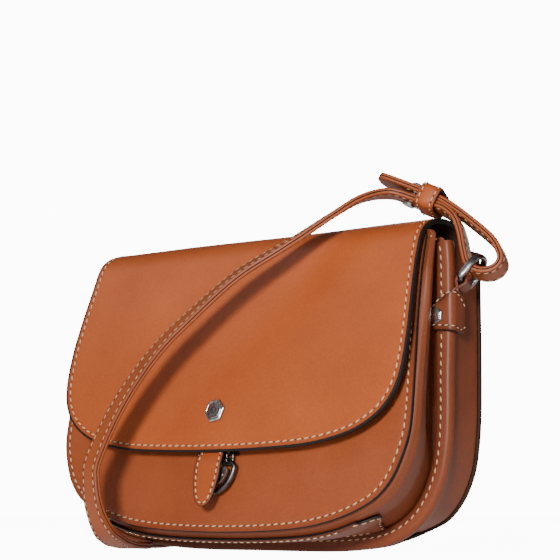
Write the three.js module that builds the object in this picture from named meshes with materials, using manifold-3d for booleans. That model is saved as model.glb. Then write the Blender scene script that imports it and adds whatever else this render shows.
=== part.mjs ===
// A crossbody saddle bag in smooth cowhide: two compartments, each a pair of flat panels joined by a
// gusset, a wide flap that rolls over the top, a snap closure behind a stitched leather tab, and a
// two-layer strap that is looped and buttoned through a ring on one side and sewn round a ring on the
// other. Millimetres, +X to the viewer's right, -Y to the front, +Z up. The bag stands on its base.

import * as THREE from 'three';
import Module from 'manifold-3d';
import { mergeVertices } from 'three/addons/utils/BufferGeometryUtils.js';

const wasm = await Module();
wasm.setup();

// Driving sizes of the body
const HALF_WIDTH = 121.6;        // half the width over the rear compartment's front bend
const BODY_HEIGHT = 165;         // top edge of the panels above the base
const FLAP_TOP = 176.5;          // height that the flap's front face would reach if it ran on straight
const FRONT_SPREAD = 42.2;       // how far the flap's front runs forward over BODY_HEIGHT
const SHOULDER_Y = -13.8;        // the flap's front face at FLAP_TOP
const FLAP_STANDOFF = 9.3;       // from the flap's face back to the front panel's face, low down
const FLAP_STANDOFF_TOP = 5.4;   // the same at the top, where the flap draws in
const SEAM_Y = -6;               // front face of the seam between the two compartments
const REAR_DEPTH = 30.5;         // from that seam back to the back panel
const BASE_CENTRE_Y = 12.5;      // middle of the flat base, which becomes y = 0 at the end

// Leather walls and the gaps between pieces that touch
const PANEL_WALL = 2;
const GUSSET_WALL = 1.8;
const INNER_GUSSET_WALL = 1.4;
const FLAP_WALL = 2.8;
const OVERLAY_WALL = 1.5;
const TAB_WALL = 2.4;
const GAP = 0.3;
const SEAM_GAP = 0.45;           // between the two flanges sewn together at the seam

// Seams
const FLANGE_WIDTH = 8.5;        // rear gusset's front flange, from its bend to its raw edge
const TURN_IN = 8;               // hidden edges turned in behind the front and back panels
const SIDE_RECESS = 1.9;         // the rear gusset steps in behind its front bend

// Strap
const STRAP_WIDTH = 15;
const STRAP_THICKNESS = 3.6;

// Metal
const STUD_RADIUS = 6.8;         // closure stud, across its corners
const TAB_STUD_RADIUS = 4.5;
const RING_HALF_INSIDE = 8.1;    // half the clear width of each strap ring
const RING_REACH = 17;           // from the ring's straight bar to the middle of its bow
const RING_BAND = 3.7;
const RING_THICKNESS = 2.1;
const RING_BAR_RADIUS = 1.3;

const hide = new THREE.MeshStandardMaterial({ color: 0xb5673a, roughness: 0.55, metalness: 0 });
const hideShade = new THREE.MeshStandardMaterial({ color: 0x8d4c2d, roughness: 0.6, metalness: 0 });
const steel = new THREE.MeshStandardMaterial({ color: 0xb9b4ad, roughness: 0.3, metalness: 1 });
const darkSteel = new THREE.MeshStandardMaterial({ color: 0x4a4340, roughness: 0.35, metalness: 1 });

// Half outlines from the middle of the bottom edge to the top, as shares of HALF_WIDTH and BODY_HEIGHT
const REAR_OUTLINE = [
  { across: 0.000, up: 0.001 }, { across: 0.329, up: 0.001 }, { across: 0.510, up: 0.007 },
  { across: 0.658, up: 0.022 }, { across: 0.765, up: 0.055 }, { across: 0.843, up: 0.099 },
  { across: 0.905, up: 0.161 }, { across: 0.951, up: 0.237 }, { across: 0.975, up: 0.315 },
  { across: 0.986, up: 0.400 }, { across: 0.991, up: 0.558 }, { across: 0.998, up: 0.715 },
  { across: 1.000, up: 0.848 }, { across: 0.999, up: 0.930 }, { across: 0.993, up: 0.982 },
];
const BACK_OUTLINE = [
  { across: 0.000, up: 0.008 }, { across: 0.329, up: 0.010 }, { across: 0.493, up: 0.017 },
  { across: 0.617, up: 0.037 }, { across: 0.715, up: 0.063 }, { across: 0.826, up: 0.101 },
  { across: 0.904, up: 0.164 }, { across: 0.959, up: 0.251 }, { across: 0.981, up: 0.337 },
  { across: 0.992, up: 0.424 }, { across: 0.997, up: 0.560 }, { across: 0.999, up: 0.790 },
  { across: 0.998, up: 0.920 }, { across: 0.993, up: 0.966 },
];
const FRONT_OUTLINE = [
  { across: 0.000, up: 0.063 }, { across: 0.316, up: 0.070 }, { across: 0.493, up: 0.084 },
  { across: 0.627, up: 0.107 }, { across: 0.729, up: 0.135 }, { across: 0.816, up: 0.170 },
  { across: 0.884, up: 0.223 }, { across: 0.928, up: 0.290 }, { across: 0.956, up: 0.364 },
  { across: 0.961, up: 0.433 }, { across: 0.951, up: 0.578 }, { across: 0.934, up: 0.722 },
  { across: 0.926, up: 0.867 }, { across: 0.921, up: 1.000 },
];
const FLAP_OUTLINE = [
  { across: 0.000, up: 0.322 }, { across: 0.262, up: 0.325 }, { across: 0.526, up: 0.338 },
  { across: 0.703, up: 0.367 }, { across: 0.790, up: 0.396 }, { across: 0.860, up: 0.435 },
  { across: 0.910, up: 0.488 }, { across: 0.937, up: 0.553 }, { across: 0.945, up: 0.676 },
  { across: 0.935, up: 0.798 }, { across: 0.924, up: 0.916 }, { across: 0.921, up: 1.021 },
];

// Front gusset across its depth: how far out it swells, in mm, low down and at its top end
const FRONT_SWELL = [
  { depth: 0.08, low: 1.6, high: 3.2 },
  { depth: 0.22, low: 3.2, high: 5.0 },
  { depth: 0.42, low: 3.0, high: 5.2 },
  { depth: 0.64, low: 1.4, high: 3.4 },
  { depth: 0.84, low: 0.2, high: 0.6 },
  { depth: 1.00, low: 0.0, high: 0.0 },
];

// Rear gusset across its depth: out from the outline, and back from the seam's front face, mm.
// Past the recess the outline blends into the back panel's.
const REAR_SECTION = [
  { out: -FLANGE_WIDTH, back: 0.0, blend: 0 },
  { out: -4.6, back: 0.0, blend: 0 },
  { out: -1.6, back: 0.4, blend: 0 },
  { out: -0.2, back: 2.0, blend: 0 },
  { out: 0.0, back: 4.4, blend: 0 },
  { out: -0.9, back: 6.9, blend: 0 },
  { out: -SIDE_RECESS, back: 9.2, blend: 0.05 },
  { out: -SIDE_RECESS, back: 18.5, blend: 0.5 },
  { out: -SIDE_RECESS, back: REAR_DEPTH - 2.6, blend: 1 },
  { out: -SIDE_RECESS - 0.7, back: REAR_DEPTH - 0.8, blend: 1 },
  { out: -SIDE_RECESS - TURN_IN, back: REAR_DEPTH - GAP, blend: 1 },
];

// Bracket-shaped ends of the front base overlay: how far each end runs on past its corner, mm
const BRACKET_END = [
  { depth: 0.10, reach: 1 }, { depth: 0.24, reach: -1.8 }, { depth: 0.38, reach: -0.6 },
  { depth: 0.53, reach: 3.4 }, { depth: 0.68, reach: 3 }, { depth: 0.82, reach: -2 },
  { depth: 0.94, reach: -6 },
];

// Closure tab: height of each row, how far its face stands before the flap's inner face, half width
const TAB_ROWS = [
  { up: 74, ahead: 0.2, half: 7.8 }, { up: 60, ahead: 0.2, half: 7.9 }, { up: 52.4, ahead: 0.2, half: 8.1 },
  { up: 49.6, ahead: 2.0, half: 8.5 }, { up: 46, ahead: 3.1, half: 8.6 }, { up: 40, ahead: 3.8, half: 8.4 },
  { up: 34, ahead: 4.6, half: 7.4 }, { up: 29.5, ahead: 5.0, half: 5.4 }, { up: 26.5, ahead: 5.3, half: 3.2 },
  { up: 24.8, ahead: 5.4, half: 1.0 },
];

// Side tab: share of the way round the bend, and the heights of its lower and upper edge, mm
const SIDE_TAB_ROWS = [
  { round: 0.00, low: 115.0, high: 128.5 }, { round: 0.22, low: 114.6, high: 130.5 },
  { round: 0.40, low: 114.2, high: 133.8 }, { round: 0.50, low: 113.9, high: 136.0 },
  { round: 0.60, low: 113.4, high: 137.6 }, { round: 0.74, low: 112.4, high: 137.8 },
  { round: 0.86, low: 112.6, high: 136.6 }, { round: 0.94, low: 114.6, high: 134.6 },
  { round: 1.00, low: 118.0, high: 131.5 },
];

// Strap, from its free end to its sewn end: its middle line as shares of HALF_WIDTH and FLAP_TOP,
// and the way its width points, as a heading from straight back and a dip, in degrees
const STRAP_ROUTE = [
  { across: 0.629, ahead: 0.012, up: 1.136, heading: -16, dip: 13 },
  { across: 0.750, ahead: -0.010, up: 1.099, heading: -16, dip: 13 },
  { across: 0.838, ahead: -0.026, up: 1.070, heading: -16, dip: 13 },
  { across: 0.941, ahead: -0.042, up: 1.032, heading: -16, dip: 13 },
  { across: 1.062, ahead: -0.055, up: 0.967, heading: -16, dip: 13 },
  { across: 1.155, ahead: -0.062, up: 0.907, heading: -16, dip: 13 },
  { across: 1.187, ahead: -0.058, up: 0.870, heading: -16, dip: 13 },
  { across: 1.197, ahead: -0.053, up: 0.847, heading: -16, dip: 13 },
  { across: 1.187, ahead: -0.044, up: 0.8275, heading: -16, dip: 13 },
  { across: 1.160, ahead: -0.032, up: 0.8147, heading: -16, dip: 13 },
  { across: 1.123, ahead: -0.020, up: 0.8119, heading: -16, dip: 13 },
  { across: 1.096, ahead: -0.014, up: 0.8174, heading: -16, dip: 13 },
  { across: 1.073, ahead: -0.010, up: 0.8268, heading: -16, dip: 13 },
  { across: 1.054, ahead: -0.011, up: 0.8426, heading: -16, dip: 13 },
  { across: 1.040, ahead: -0.016, up: 0.8720, heading: -16, dip: 13 },
  { across: 1.013, ahead: -0.027, up: 0.9430, heading: -16, dip: 13 },
  { across: 0.987, ahead: -0.030, up: 0.9830, heading: -16, dip: 13 },
  { across: 0.941, ahead: -0.029, up: 1.0130, heading: -16, dip: 13 },
  { across: 0.889, ahead: -0.023, up: 1.0290, heading: -16, dip: 13 },
  { across: 0.834, ahead: -0.015, up: 1.040, heading: -16, dip: 13 },
  { across: 0.782, ahead: -0.007, up: 1.057, heading: -17, dip: 11 },
  { across: 0.698, ahead: 0.020, up: 1.081, heading: -20, dip: 4 },
  { across: 0.641, ahead: 0.062, up: 1.080, heading: -26, dip: -2 },
  { across: 0.580, ahead: 0.124, up: 1.061, heading: -31, dip: -7 },
  { across: 0.493, ahead: 0.201, up: 1.012, heading: -37, dip: -9 },
  { across: 0.381, ahead: 0.285, up: 0.948, heading: -41, dip: -10 },
  { across: 0.303, ahead: 0.339, up: 0.907, heading: -40, dip: -13 },
  { across: 0.139, ahead: 0.424, up: 0.831, heading: -38, dip: -19 },
  { across: -0.064, ahead: 0.505, up: 0.707, heading: -43, dip: -22 },
  { across: -0.200, ahead: 0.552, up: 0.616, heading: -46, dip: -24 },
  { across: -0.365, ahead: 0.600, up: 0.465, heading: -54, dip: -24 },
  { across: -0.483, ahead: 0.618, up: 0.327, heading: -64, dip: -18 },
  { across: -0.521, ahead: 0.628, up: 0.256, heading: -69, dip: -7 },
  { across: -0.513, ahead: 0.635, up: 0.196, heading: -71, dip: 4 },
  { across: -0.500, ahead: 0.630, up: 0.138, heading: -72, dip: 10 },
  { across: -0.488, ahead: 0.610, up: 0.094, heading: -72, dip: 14 },
  { across: -0.492, ahead: 0.562, up: 0.059, heading: -71, dip: 13 },
  { across: -0.520, ahead: 0.473, up: 0.034, heading: -70, dip: 8 },
  { across: -0.576, ahead: 0.339, up: 0.019, heading: -68, dip: 3 },
  { across: -0.645, ahead: 0.172, up: 0.013, heading: -66, dip: 0 },
  { across: -0.740, ahead: 0.020, up: 0.0125, heading: -68, dip: 0 },
  { across: -0.798, ahead: -0.181, up: 0.0125, heading: -76, dip: 0 },
  { across: -0.831, ahead: -0.362, up: 0.023, heading: -84, dip: 0 },
  { across: -0.863, ahead: -0.559, up: 0.091, heading: -88, dip: 0 },
  { across: -0.888, ahead: -0.757, up: 0.227, heading: -90, dip: 0 },
  { across: -0.913, ahead: -0.905, up: 0.355, heading: -90, dip: 0 },
  { across: -0.938, ahead: -1.053, up: 0.440, heading: -90, dip: 0 },
  { across: -0.970, ahead: -1.217, up: 0.466, heading: -90, dip: 0 },
  { across: -1.003, ahead: -1.349, up: 0.405, heading: -90, dip: 0 },
  { across: -1.028, ahead: -1.398, up: 0.284, heading: -90, dip: 0 },
  { across: -1.053, ahead: -1.345, up: 0.140, heading: -90, dip: 0 },
  { across: -1.069, ahead: -1.176, up: 0.044, heading: -90, dip: 0 },
  { across: -1.077, ahead: -0.970, up: 0.014, heading: -90, dip: 0 },
  { across: -1.094, ahead: -0.658, up: 0.014, heading: -90, dip: 0 },
  { across: -1.110, ahead: -0.378, up: 0.023, heading: -88, dip: 0 },
  { across: -1.127, ahead: -0.164, up: 0.068, heading: -84, dip: 0 },
  { across: -1.139, ahead: -0.058, up: 0.193, heading: -70, dip: 0 },
  { across: -1.145, ahead: -0.025, up: 0.351, heading: -42, dip: 0 },
  { across: -1.146, ahead: -0.011, up: 0.499, heading: -18, dip: 0 },
  { across: -1.147, ahead: -0.003, up: 0.601, heading: -9, dip: 0 },
  { across: -1.146, ahead: 0.000, up: 0.666, heading: -6, dip: 0 },
  { across: -1.140, ahead: 0.006, up: 0.7067, heading: -6, dip: 0 },
  { across: -1.117, ahead: 0.004, up: 0.7369, heading: -6, dip: 0 },
  { across: -1.096, ahead: 0.001, up: 0.7495, heading: -6, dip: 0 },
  { across: -1.069, ahead: -0.001, up: 0.7479, heading: -6, dip: 0 },
  { across: -1.052, ahead: -0.003, up: 0.7338, heading: -6, dip: 0 },
  { across: -1.054, ahead: -0.002, up: 0.7146, heading: -6, dip: 0 },
  { across: -1.074, ahead: 0.000, up: 0.6866, heading: -6, dip: 0 },
  { across: -1.087, ahead: 0.001, up: 0.6538, heading: -6, dip: 0 },
  { across: -1.094, ahead: 0.001, up: 0.6006, heading: -6, dip: 0 },
  { across: -1.097, ahead: 0.001, up: 0.5552, heading: -6, dip: 0 },
];

// Small tools

const v3 = (x, y, z) => new THREE.Vector3(x, y, z);
const mix = (a, b, t) => a + (b - a) * t;
const clamp01 = (t) => Math.min(1, Math.max(0, t));
const ease = (t) => clamp01(t) ** 2 * (3 - 2 * clamp01(t));

// Reads a column of a table at a place between its rows
function readTable(rows, key, place, column) {
  const last = rows.length - 1;
  if (place <= rows[0][key]) return rows[0][column];
  if (place >= rows[last][key]) return rows[last][column];
  const next = rows.findIndex((row) => row[key] > place);
  const before = rows[next - 1];
  const t = (place - before[key]) / (rows[next][key] - before[key]);
  return mix(before[column], rows[next][column], t);
}

// A closed body from points and triangles, turned so that its faces look outwards
function body(points, triangles) {
  let volume = 0;
  for (const [a, b, c] of triangles) {
    volume += points[a].dot(points[b].clone().cross(points[c]));
  }
  const index = triangles.flatMap(([a, b, c]) => (volume > 0 ? [a, b, c] : [a, c, b]));
  const geometry = new THREE.BufferGeometry();
  geometry.setAttribute('position', new THREE.Float32BufferAttribute(points.flatMap((p) => [p.x, p.y, p.z]), 3));
  geometry.setIndex(index);
  geometry.computeVertexNormals();
  return geometry;
}

// Rings of equal count joined one to the next, closed on themselves or with a flat cap at each end
function loft(rings, closed = false) {
  const count = rings[0].length;
  const triangles = [];
  const steps = closed ? rings.length : rings.length - 1;
  for (let i = 0; i < steps; i += 1) {
    const next = (i + 1) % rings.length;
    for (let j = 0; j < count; j += 1) {
      const k = (j + 1) % count;
      triangles.push([i * count + j, next * count + j, next * count + k]);
      triangles.push([i * count + j, next * count + k, i * count + k]);
    }
  }
  if (!closed) {
    const end = (rings.length - 1) * count;
    for (let j = 1; j < count - 1; j += 1) {
      triangles.push([0, j, j + 1]);
      triangles.push([end, end + j + 1, end + j]);
    }
  }
  return body(rings.flat(), triangles);
}

// A wall of leather: its outer face is a grid of points, and its inner face lies one wall inside.
// The side called out is the one that looks along `facing` at the middle of the grid.
function leather(grid, wall, facing) {
  const rows = grid.length;
  const columns = grid[0].length;
  const normals = grid.map((row, i) => row.map((point, j) => {
    const along = grid[Math.min(i + 1, rows - 1)][j].clone().sub(grid[Math.max(i - 1, 0)][j]);
    const over = row[Math.min(j + 1, columns - 1)].clone().sub(row[Math.max(j - 1, 0)]);
    return along.cross(over).normalize();
  }));
  const middle = normals[Math.floor(rows / 2)][Math.floor(columns / 2)];
  const sign = middle.dot(facing) > 0 ? 1 : -1;
  const inner = grid.map((row, i) => row.map((p, j) => p.clone().addScaledVector(normals[i][j], -sign * wall)));
  const points = [...grid.flat(), ...inner.flat()];
  const at = (layer, i, j) => layer * rows * columns + i * columns + j;
  const triangles = [];
  const quad = (a, b, c, d) => triangles.push([a, b, c], [a, c, d]);
  for (let i = 0; i < rows - 1; i += 1) {
    for (let j = 0; j < columns - 1; j += 1) {
      quad(at(0, i, j), at(0, i + 1, j), at(0, i + 1, j + 1), at(0, i, j + 1));
      quad(at(1, i, j), at(1, i, j + 1), at(1, i + 1, j + 1), at(1, i + 1, j));
    }
  }
  for (let i = 0; i < rows - 1; i += 1) {
    quad(at(0, i, 0), at(1, i, 0), at(1, i + 1, 0), at(0, i + 1, 0));
    quad(at(0, i, columns - 1), at(0, i + 1, columns - 1), at(1, i + 1, columns - 1), at(1, i, columns - 1));
  }
  for (let j = 0; j < columns - 1; j += 1) {
    quad(at(0, 0, j), at(0, 0, j + 1), at(1, 0, j + 1), at(1, 0, j));
    quad(at(0, rows - 1, j), at(1, rows - 1, j), at(1, rows - 1, j + 1), at(0, rows - 1, j + 1));
  }
  return body(points, triangles);
}

// Joins and cuts
function solid(geometry) {
  const plain = geometry.clone();
  plain.deleteAttribute('normal');
  plain.deleteAttribute('uv');
  const merged = mergeVertices(plain, 1e-5);
  return new wasm.Manifold(new wasm.Mesh({
    numProp: 3,
    vertProperties: new Float32Array(merged.attributes.position.array),
    triVerts: new Uint32Array(merged.index.array),
  }));
}
function geometryOf(manifold) {
  const mesh = manifold.getMesh();
  const geometry = new THREE.BufferGeometry();
  geometry.setAttribute('position', new THREE.BufferAttribute(new Float32Array(mesh.vertProperties), 3));
  geometry.setIndex(new THREE.BufferAttribute(new Uint32Array(mesh.triVerts), 1));
  geometry.computeVertexNormals();
  return geometry;
}
function join(...geometries) {
  return geometryOf(geometries.map(solid).reduce((a, b) => a.add(b)));
}
function cut(geometry, ...tools) {
  return geometryOf(tools.map(solid).reduce((a, b) => a.subtract(b), solid(geometry)));
}

// Puts a shape modelled round the origin at a place, its Z along `normal` and its Y near `upward`
function place(geometry, origin, normal, upward) {
  const z = normal.clone().normalize();
  const x = upward.clone().cross(z).normalize();
  const y = z.clone().cross(x);
  return geometry.clone().applyMatrix4(new THREE.Matrix4().makeBasis(x, y, z).setPosition(origin));
}
const mirrorPoint = (p) => v3(-p.x, p.y, p.z);
function mirrored(geometry) {
  const flipped = geometry.clone().applyMatrix4(new THREE.Matrix4().makeScale(-1, 1, 1));
  const index = flipped.index.array;
  for (let i = 0; i < index.length; i += 3) [index[i + 1], index[i + 2]] = [index[i + 2], index[i + 1]];
  flipped.computeVertexNormals();
  return flipped;
}

// Outlines of the panels: a place runs from -1 at the left top, over 0 at the bottom, to 1
function outline(rows, height = BODY_HEIGHT) {
  const right = rows.map((row) => v3(row.across * HALF_WIDTH, 0, row.up * height));
  const left = right.slice(1).reverse().map((p) => v3(-p.x, 0, p.z));
  const curve = new THREE.CatmullRomCurve3([...left, ...right], false, 'centripetal');
  curve.arcLengthDivisions = 600;
  return (place_) => {
    const share = clamp01((place_ + 1) / 2);
    const point = curve.getPointAt(share);
    const tangent = curve.getTangentAt(share);
    return { x: point.x, z: point.z, outX: tangent.z, outZ: -tangent.x };
  };
}
const rearOutline = outline(REAR_OUTLINE);
const backOutline = outline(BACK_OUTLINE);
const frontOutline = outline(FRONT_OUTLINE);
const flapOutline = outline(FLAP_OUTLINE);

// How far forward the flap's face and the front panel's face lie at a height
function flapFace(z) {
  const k = (FLAP_TOP - z) / BODY_HEIGHT;
  return SHOULDER_Y - FRONT_SPREAD * (1.767 * k - 0.767 * k * k);
}
function panelFace(z) {
  const drawn = ease((z - 0.66 * BODY_HEIGHT) / (0.34 * BODY_HEIGHT));
  return flapFace(z) + mix(FLAP_STANDOFF, FLAP_STANDOFF_TOP, drawn);
}

// The y of a wall's back face where its front face is at a height
function behind(faceAt, z, wall) {
  return faceAt(z) + wall * Math.hypot(1, (faceAt(z + 1) - faceAt(z - 1)) / 2);
}

// A panel: rows across the bag, the lowest one bowed along the outline's bottom edge
function panelGrid(shape, faceAt, { rows = 18, columns = 6, start = 0.2, top = 1, inset = 0 } = {}) {
  const bottom = shape(0).z + inset;
  const grid = [];
  for (let i = 0; i <= rows; i += 1) {
    const edge = shape(mix(start, top, i / rows));
    const half = edge.x - inset * edge.outX;
    const height = edge.z - inset * edge.outZ;
    const row = [];
    for (let j = 0; j <= columns; j += 1) {
      const side = (2 * j) / columns - 1;
      const z = i === 0 ? mix(bottom, height, side * side) : height;
      row.push(v3(half * side, faceAt(z), z));
    }
    grid.push(row);
  }
  return grid;
}

const FRONT = v3(0, -1, 0);
const BACK = v3(0, 1, 0);
const DOWN = v3(0, 0, -1);

function frontPanel() {
  return leather(panelGrid(frontOutline, panelFace), PANEL_WALL, FRONT);
}

// The middle panel closes the back of the front compartment, behind both gussets' flanges
const MIDDLE_Y = SEAM_Y + GUSSET_WALL + SEAM_GAP + INNER_GUSSET_WALL + GAP;
function middlePanel() {
  const grid = panelGrid(rearOutline, () => MIDDLE_Y, { inset: 3.4, top: 0.985 });
  return leather(grid, PANEL_WALL - 0.2, FRONT);
}

function backPanel() {
  const grid = panelGrid(backOutline, () => SEAM_Y + REAR_DEPTH + PANEL_WALL);
  return leather(grid, PANEL_WALL, BACK);
}

// Gussets

function rearGusset(stations = 42) {
  const grid = [];
  for (let i = 0; i <= stations; i += 1) {
    const share = (2 * i) / stations - 1;
    const front = rearOutline(share);
    const back = backOutline(share);
    grid.push(REAR_SECTION.map((row) => v3(
      mix(front.x, back.x, row.blend) + row.out * mix(front.outX, back.outX, row.blend),
      SEAM_Y + row.back,
      mix(front.z, back.z, row.blend) + row.out * mix(front.outZ, back.outZ, row.blend),
    )));
  }
  return leather(grid, GUSSET_WALL, DOWN);
}

// Where the front gusset meets the panels at a place along the bag's outline. High up the gusset
// dives into a pocket before the seam, which leaves room for the side tab and its stud.
function frontGussetFrame(share) {
  const front = frontOutline(share);
  const rear = rearOutline(share);
  const high = ease((Math.abs(share) - 0.5) / 0.4);
  const pocket = 5.8 * ease((Math.abs(share) - 0.52) / 0.14);
  const seam = FLANGE_WIDTH + 1 + pocket;
  return {
    high,
    pocket,
    rear,
    start: v3(front.x, behind(panelFace, front.z, PANEL_WALL) + GAP, front.z),
    end: v3(rear.x - seam * rear.outX, SEAM_Y - 0.4, rear.z - seam * rear.outZ),
    out: v3(front.outX + rear.outX, 0, front.outZ + rear.outZ).normalize(),
    inward: v3(-front.outX, 0, -front.outZ),
  };
}

// The lower corners are pinched in behind the panel's edge
function cornerPinch(share, depth) {
  const corner = Math.exp(-(((Math.abs(share) - 0.36) / 0.07) ** 2));
  return 1.8 * corner * Math.sin(Math.PI * clamp01(depth));
}

function frontGussetPoint(frame, share, depth, lift = 0) {
  const swell = mix(
    readTable(FRONT_SWELL, 'depth', depth, 'low'),
    readTable(FRONT_SWELL, 'depth', depth, 'high'),
    frame.high,
  );
  const point = frame.start.clone().lerp(frame.end, depth);
  return point.addScaledVector(frame.out, swell - cornerPinch(share, depth) + lift);
}

function frontGusset(stations = 42) {
  const grid = [];
  for (let i = 0; i <= stations; i += 1) {
    const share = (2 * i) / stations - 1;
    const frame = frontGussetFrame(share);
    const { rear, pocket } = frame;
    const behindPanel = (inset) => {
      const p = frame.start.clone().addScaledVector(frame.inward, inset);
      p.y = behind(panelFace, p.z, PANEL_WALL) + GAP;
      return p;
    };
    const underFlange = (inset, back) => v3(
      rear.x - inset * rear.outX, SEAM_Y + back, rear.z - inset * rear.outZ,
    );
    grid.push([
      behindPanel(TURN_IN),
      behindPanel(1.8),
      ...FRONT_SWELL.map((row) => frontGussetPoint(frame, share, row.depth)),
      underFlange(FLANGE_WIDTH + 0.6 + 0.8 * pocket, GUSSET_WALL + SEAM_GAP),
      underFlange(3.6, GUSSET_WALL + SEAM_GAP),
    ]);
  }
  return leather(grid, INNER_GUSSET_WALL, DOWN);
}

// Overlays that double the leather under each compartment
const OVERLAY_REACH = 0.30;      // share of the outline from the middle of the base to each end
function frontBaseOverlay(stations = 24) {
  const perMm = 1 / 330;         // share of the outline to one millimetre
  const depths = BRACKET_END.map((row) => row.depth);
  const grid = [];
  for (let i = 0; i <= stations; i += 1) {
    grid.push(depths.map((depth) => {
      const reach = OVERLAY_REACH + perMm * readTable(BRACKET_END, 'depth', depth, 'reach');
      const share = mix(-reach, reach, i / stations);
      return frontGussetPoint(frontGussetFrame(share), share, depth, OVERLAY_WALL + 2 * GAP);
    }));
  }
  return leather(grid, OVERLAY_WALL, DOWN);
}

function rearBaseOverlay(stations = 24) {
  const reach = 0.345;
  const backs = [9.6, 18.5, REAR_DEPTH - 3.2];
  const lift = -SIDE_RECESS + GAP + OVERLAY_WALL + 0.1;
  const grid = [];
  for (let i = 0; i <= stations; i += 1) {
    const share = mix(-reach, reach, i / stations);
    const front = rearOutline(share);
    const back = backOutline(share);
    grid.push(backs.map((depth) => {
      const blend = readTable(REAR_SECTION, 'back', depth, 'blend');
      const flat = ease((Math.abs(share) - 0.12) / 0.1);
      const z = mix(front.z, back.z, blend) + lift * mix(front.outZ, back.outZ, blend);
      return v3(
        mix(front.x, back.x, blend) + lift * mix(front.outX, back.outX, blend),
        SEAM_Y + depth,
        mix(0, z, flat),
      );
    }));
  }
  return leather(grid, OVERLAY_WALL, DOWN);
}

// The flap: up its front face, over the top in one roll, and down behind the back panel
function flap() {
  const rows = [];
  const frontRows = 16;
  for (let i = 0; i <= frontRows; i += 1) {
    const edge = flapOutline(mix(0.2, 1, i / frontRows));
    rows.push({ y: flapFace(edge.z), z: edge.z, half: edge.x });
  }
  const shoulder = rows[rows.length - 1];
  const backY = SEAM_Y + REAR_DEPTH + PANEL_WALL + GAP + FLAP_WALL;
  const rise = v3(0, flapFace(shoulder.z + 1) - shoulder.y, 1).normalize();
  const roll = new THREE.CubicBezierCurve3(
    v3(0, shoulder.y, shoulder.z),
    v3(0, shoulder.y, shoulder.z).addScaledVector(rise, 12.4),
    v3(0, backY, FLAP_TOP + 1.5),
    v3(0, backY, FLAP_TOP - 16.5),
  );
  const rollRows = 12;
  for (let i = 1; i <= rollRows; i += 1) {
    const p = roll.getPoint(i / rollRows);
    rows.push({ y: p.y, z: p.z, half: shoulder.half });
  }
  const end = rows[rows.length - 1];
  for (const [drop, narrower] of [[20, 0], [36, 1], [42, 6]]) {
    rows.push({ y: backY, z: end.z - drop, half: shoulder.half - narrower });
  }
  const columns = 6;
  const bottom = flapOutline(0).z;
  const grid = rows.map((row, i) => {
    const points = [];
    for (let j = 0; j <= columns; j += 1) {
      const side = (2 * j) / columns - 1;
      const z = i === 0 ? mix(bottom, row.z, side * side) : row.z;
      points.push(v3(row.half * side, i === 0 ? flapFace(z) : row.y, z));
    }
    return points;
  });
  return leather(grid, FLAP_WALL, FRONT);
}

// Closure tab, sewn inside the flap and hanging over the snap
const TAB_X = -2.5;
function tabFace(row) {
  return flapFace(row.up) + FLAP_WALL * 1.03 + GAP - row.ahead + 0.3;
}
function closureTab() {
  const sides = [-1, -0.5, 0, 0.5, 1];
  const grid = TAB_ROWS.map((row) => sides.map((side) => v3(TAB_X + side * row.half, tabFace(row), row.up)));
  return leather(grid, TAB_WALL, FRONT);
}

// Snap closure
const CLASP = {
  x: -1, up: 47.1, halfWidth: 12.4, depth: 15.8, barRadius: 1.15, rimRadius: 1.6, tilt: 0.21,
};
CLASP.y = panelFace(CLASP.up) - 2.75;
const claspDown = v3(0, -Math.sin(CLASP.tilt), -Math.cos(CLASP.tilt));
const claspFace = v3(0, -Math.cos(CLASP.tilt), Math.sin(CLASP.tilt));
const claspOrigin = v3(CLASP.x, CLASP.y, CLASP.up);
function claspPoint(across, down, ahead = 0) {
  return claspOrigin.clone().add(v3(across, 0, 0))
    .addScaledVector(claspDown, down).addScaledVector(claspFace, ahead);
}
function sweptRing(path, radii, sides) {
  const count = path.length;
  return loft(path.map((point, i) => {
    const tangent = path[(i + 1) % count].clone().sub(path[(i - 1 + count) % count]).normalize();
    const side = tangent.clone().cross(claspFace).normalize();
    const ring = [];
    for (let k = 0; k < sides; k += 1) {
      const angle = (2 * Math.PI * (k + 0.5)) / sides;
      ring.push(point.clone().addScaledVector(side, radii[i] * Math.cos(angle))
        .addScaledVector(claspFace, radii[i] * Math.sin(angle)));
    }
    return ring;
  }), true);
}

function box(width, depth, height) {
  return new THREE.BoxGeometry(width, depth, height);
}
function rod(from, to, radius, sides = 10) {
  const length = from.distanceTo(to);
  const shape = new THREE.CylinderGeometry(radius, radius, length, sides).rotateX(Math.PI / 2);
  const way = to.clone().sub(from);
  const upward = Math.abs(way.clone().normalize().z) > 0.9 ? v3(1, 0, 0) : v3(0, 0, 1);
  return place(shape, from.clone().lerp(to, 0.5), way, upward);
}

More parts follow.
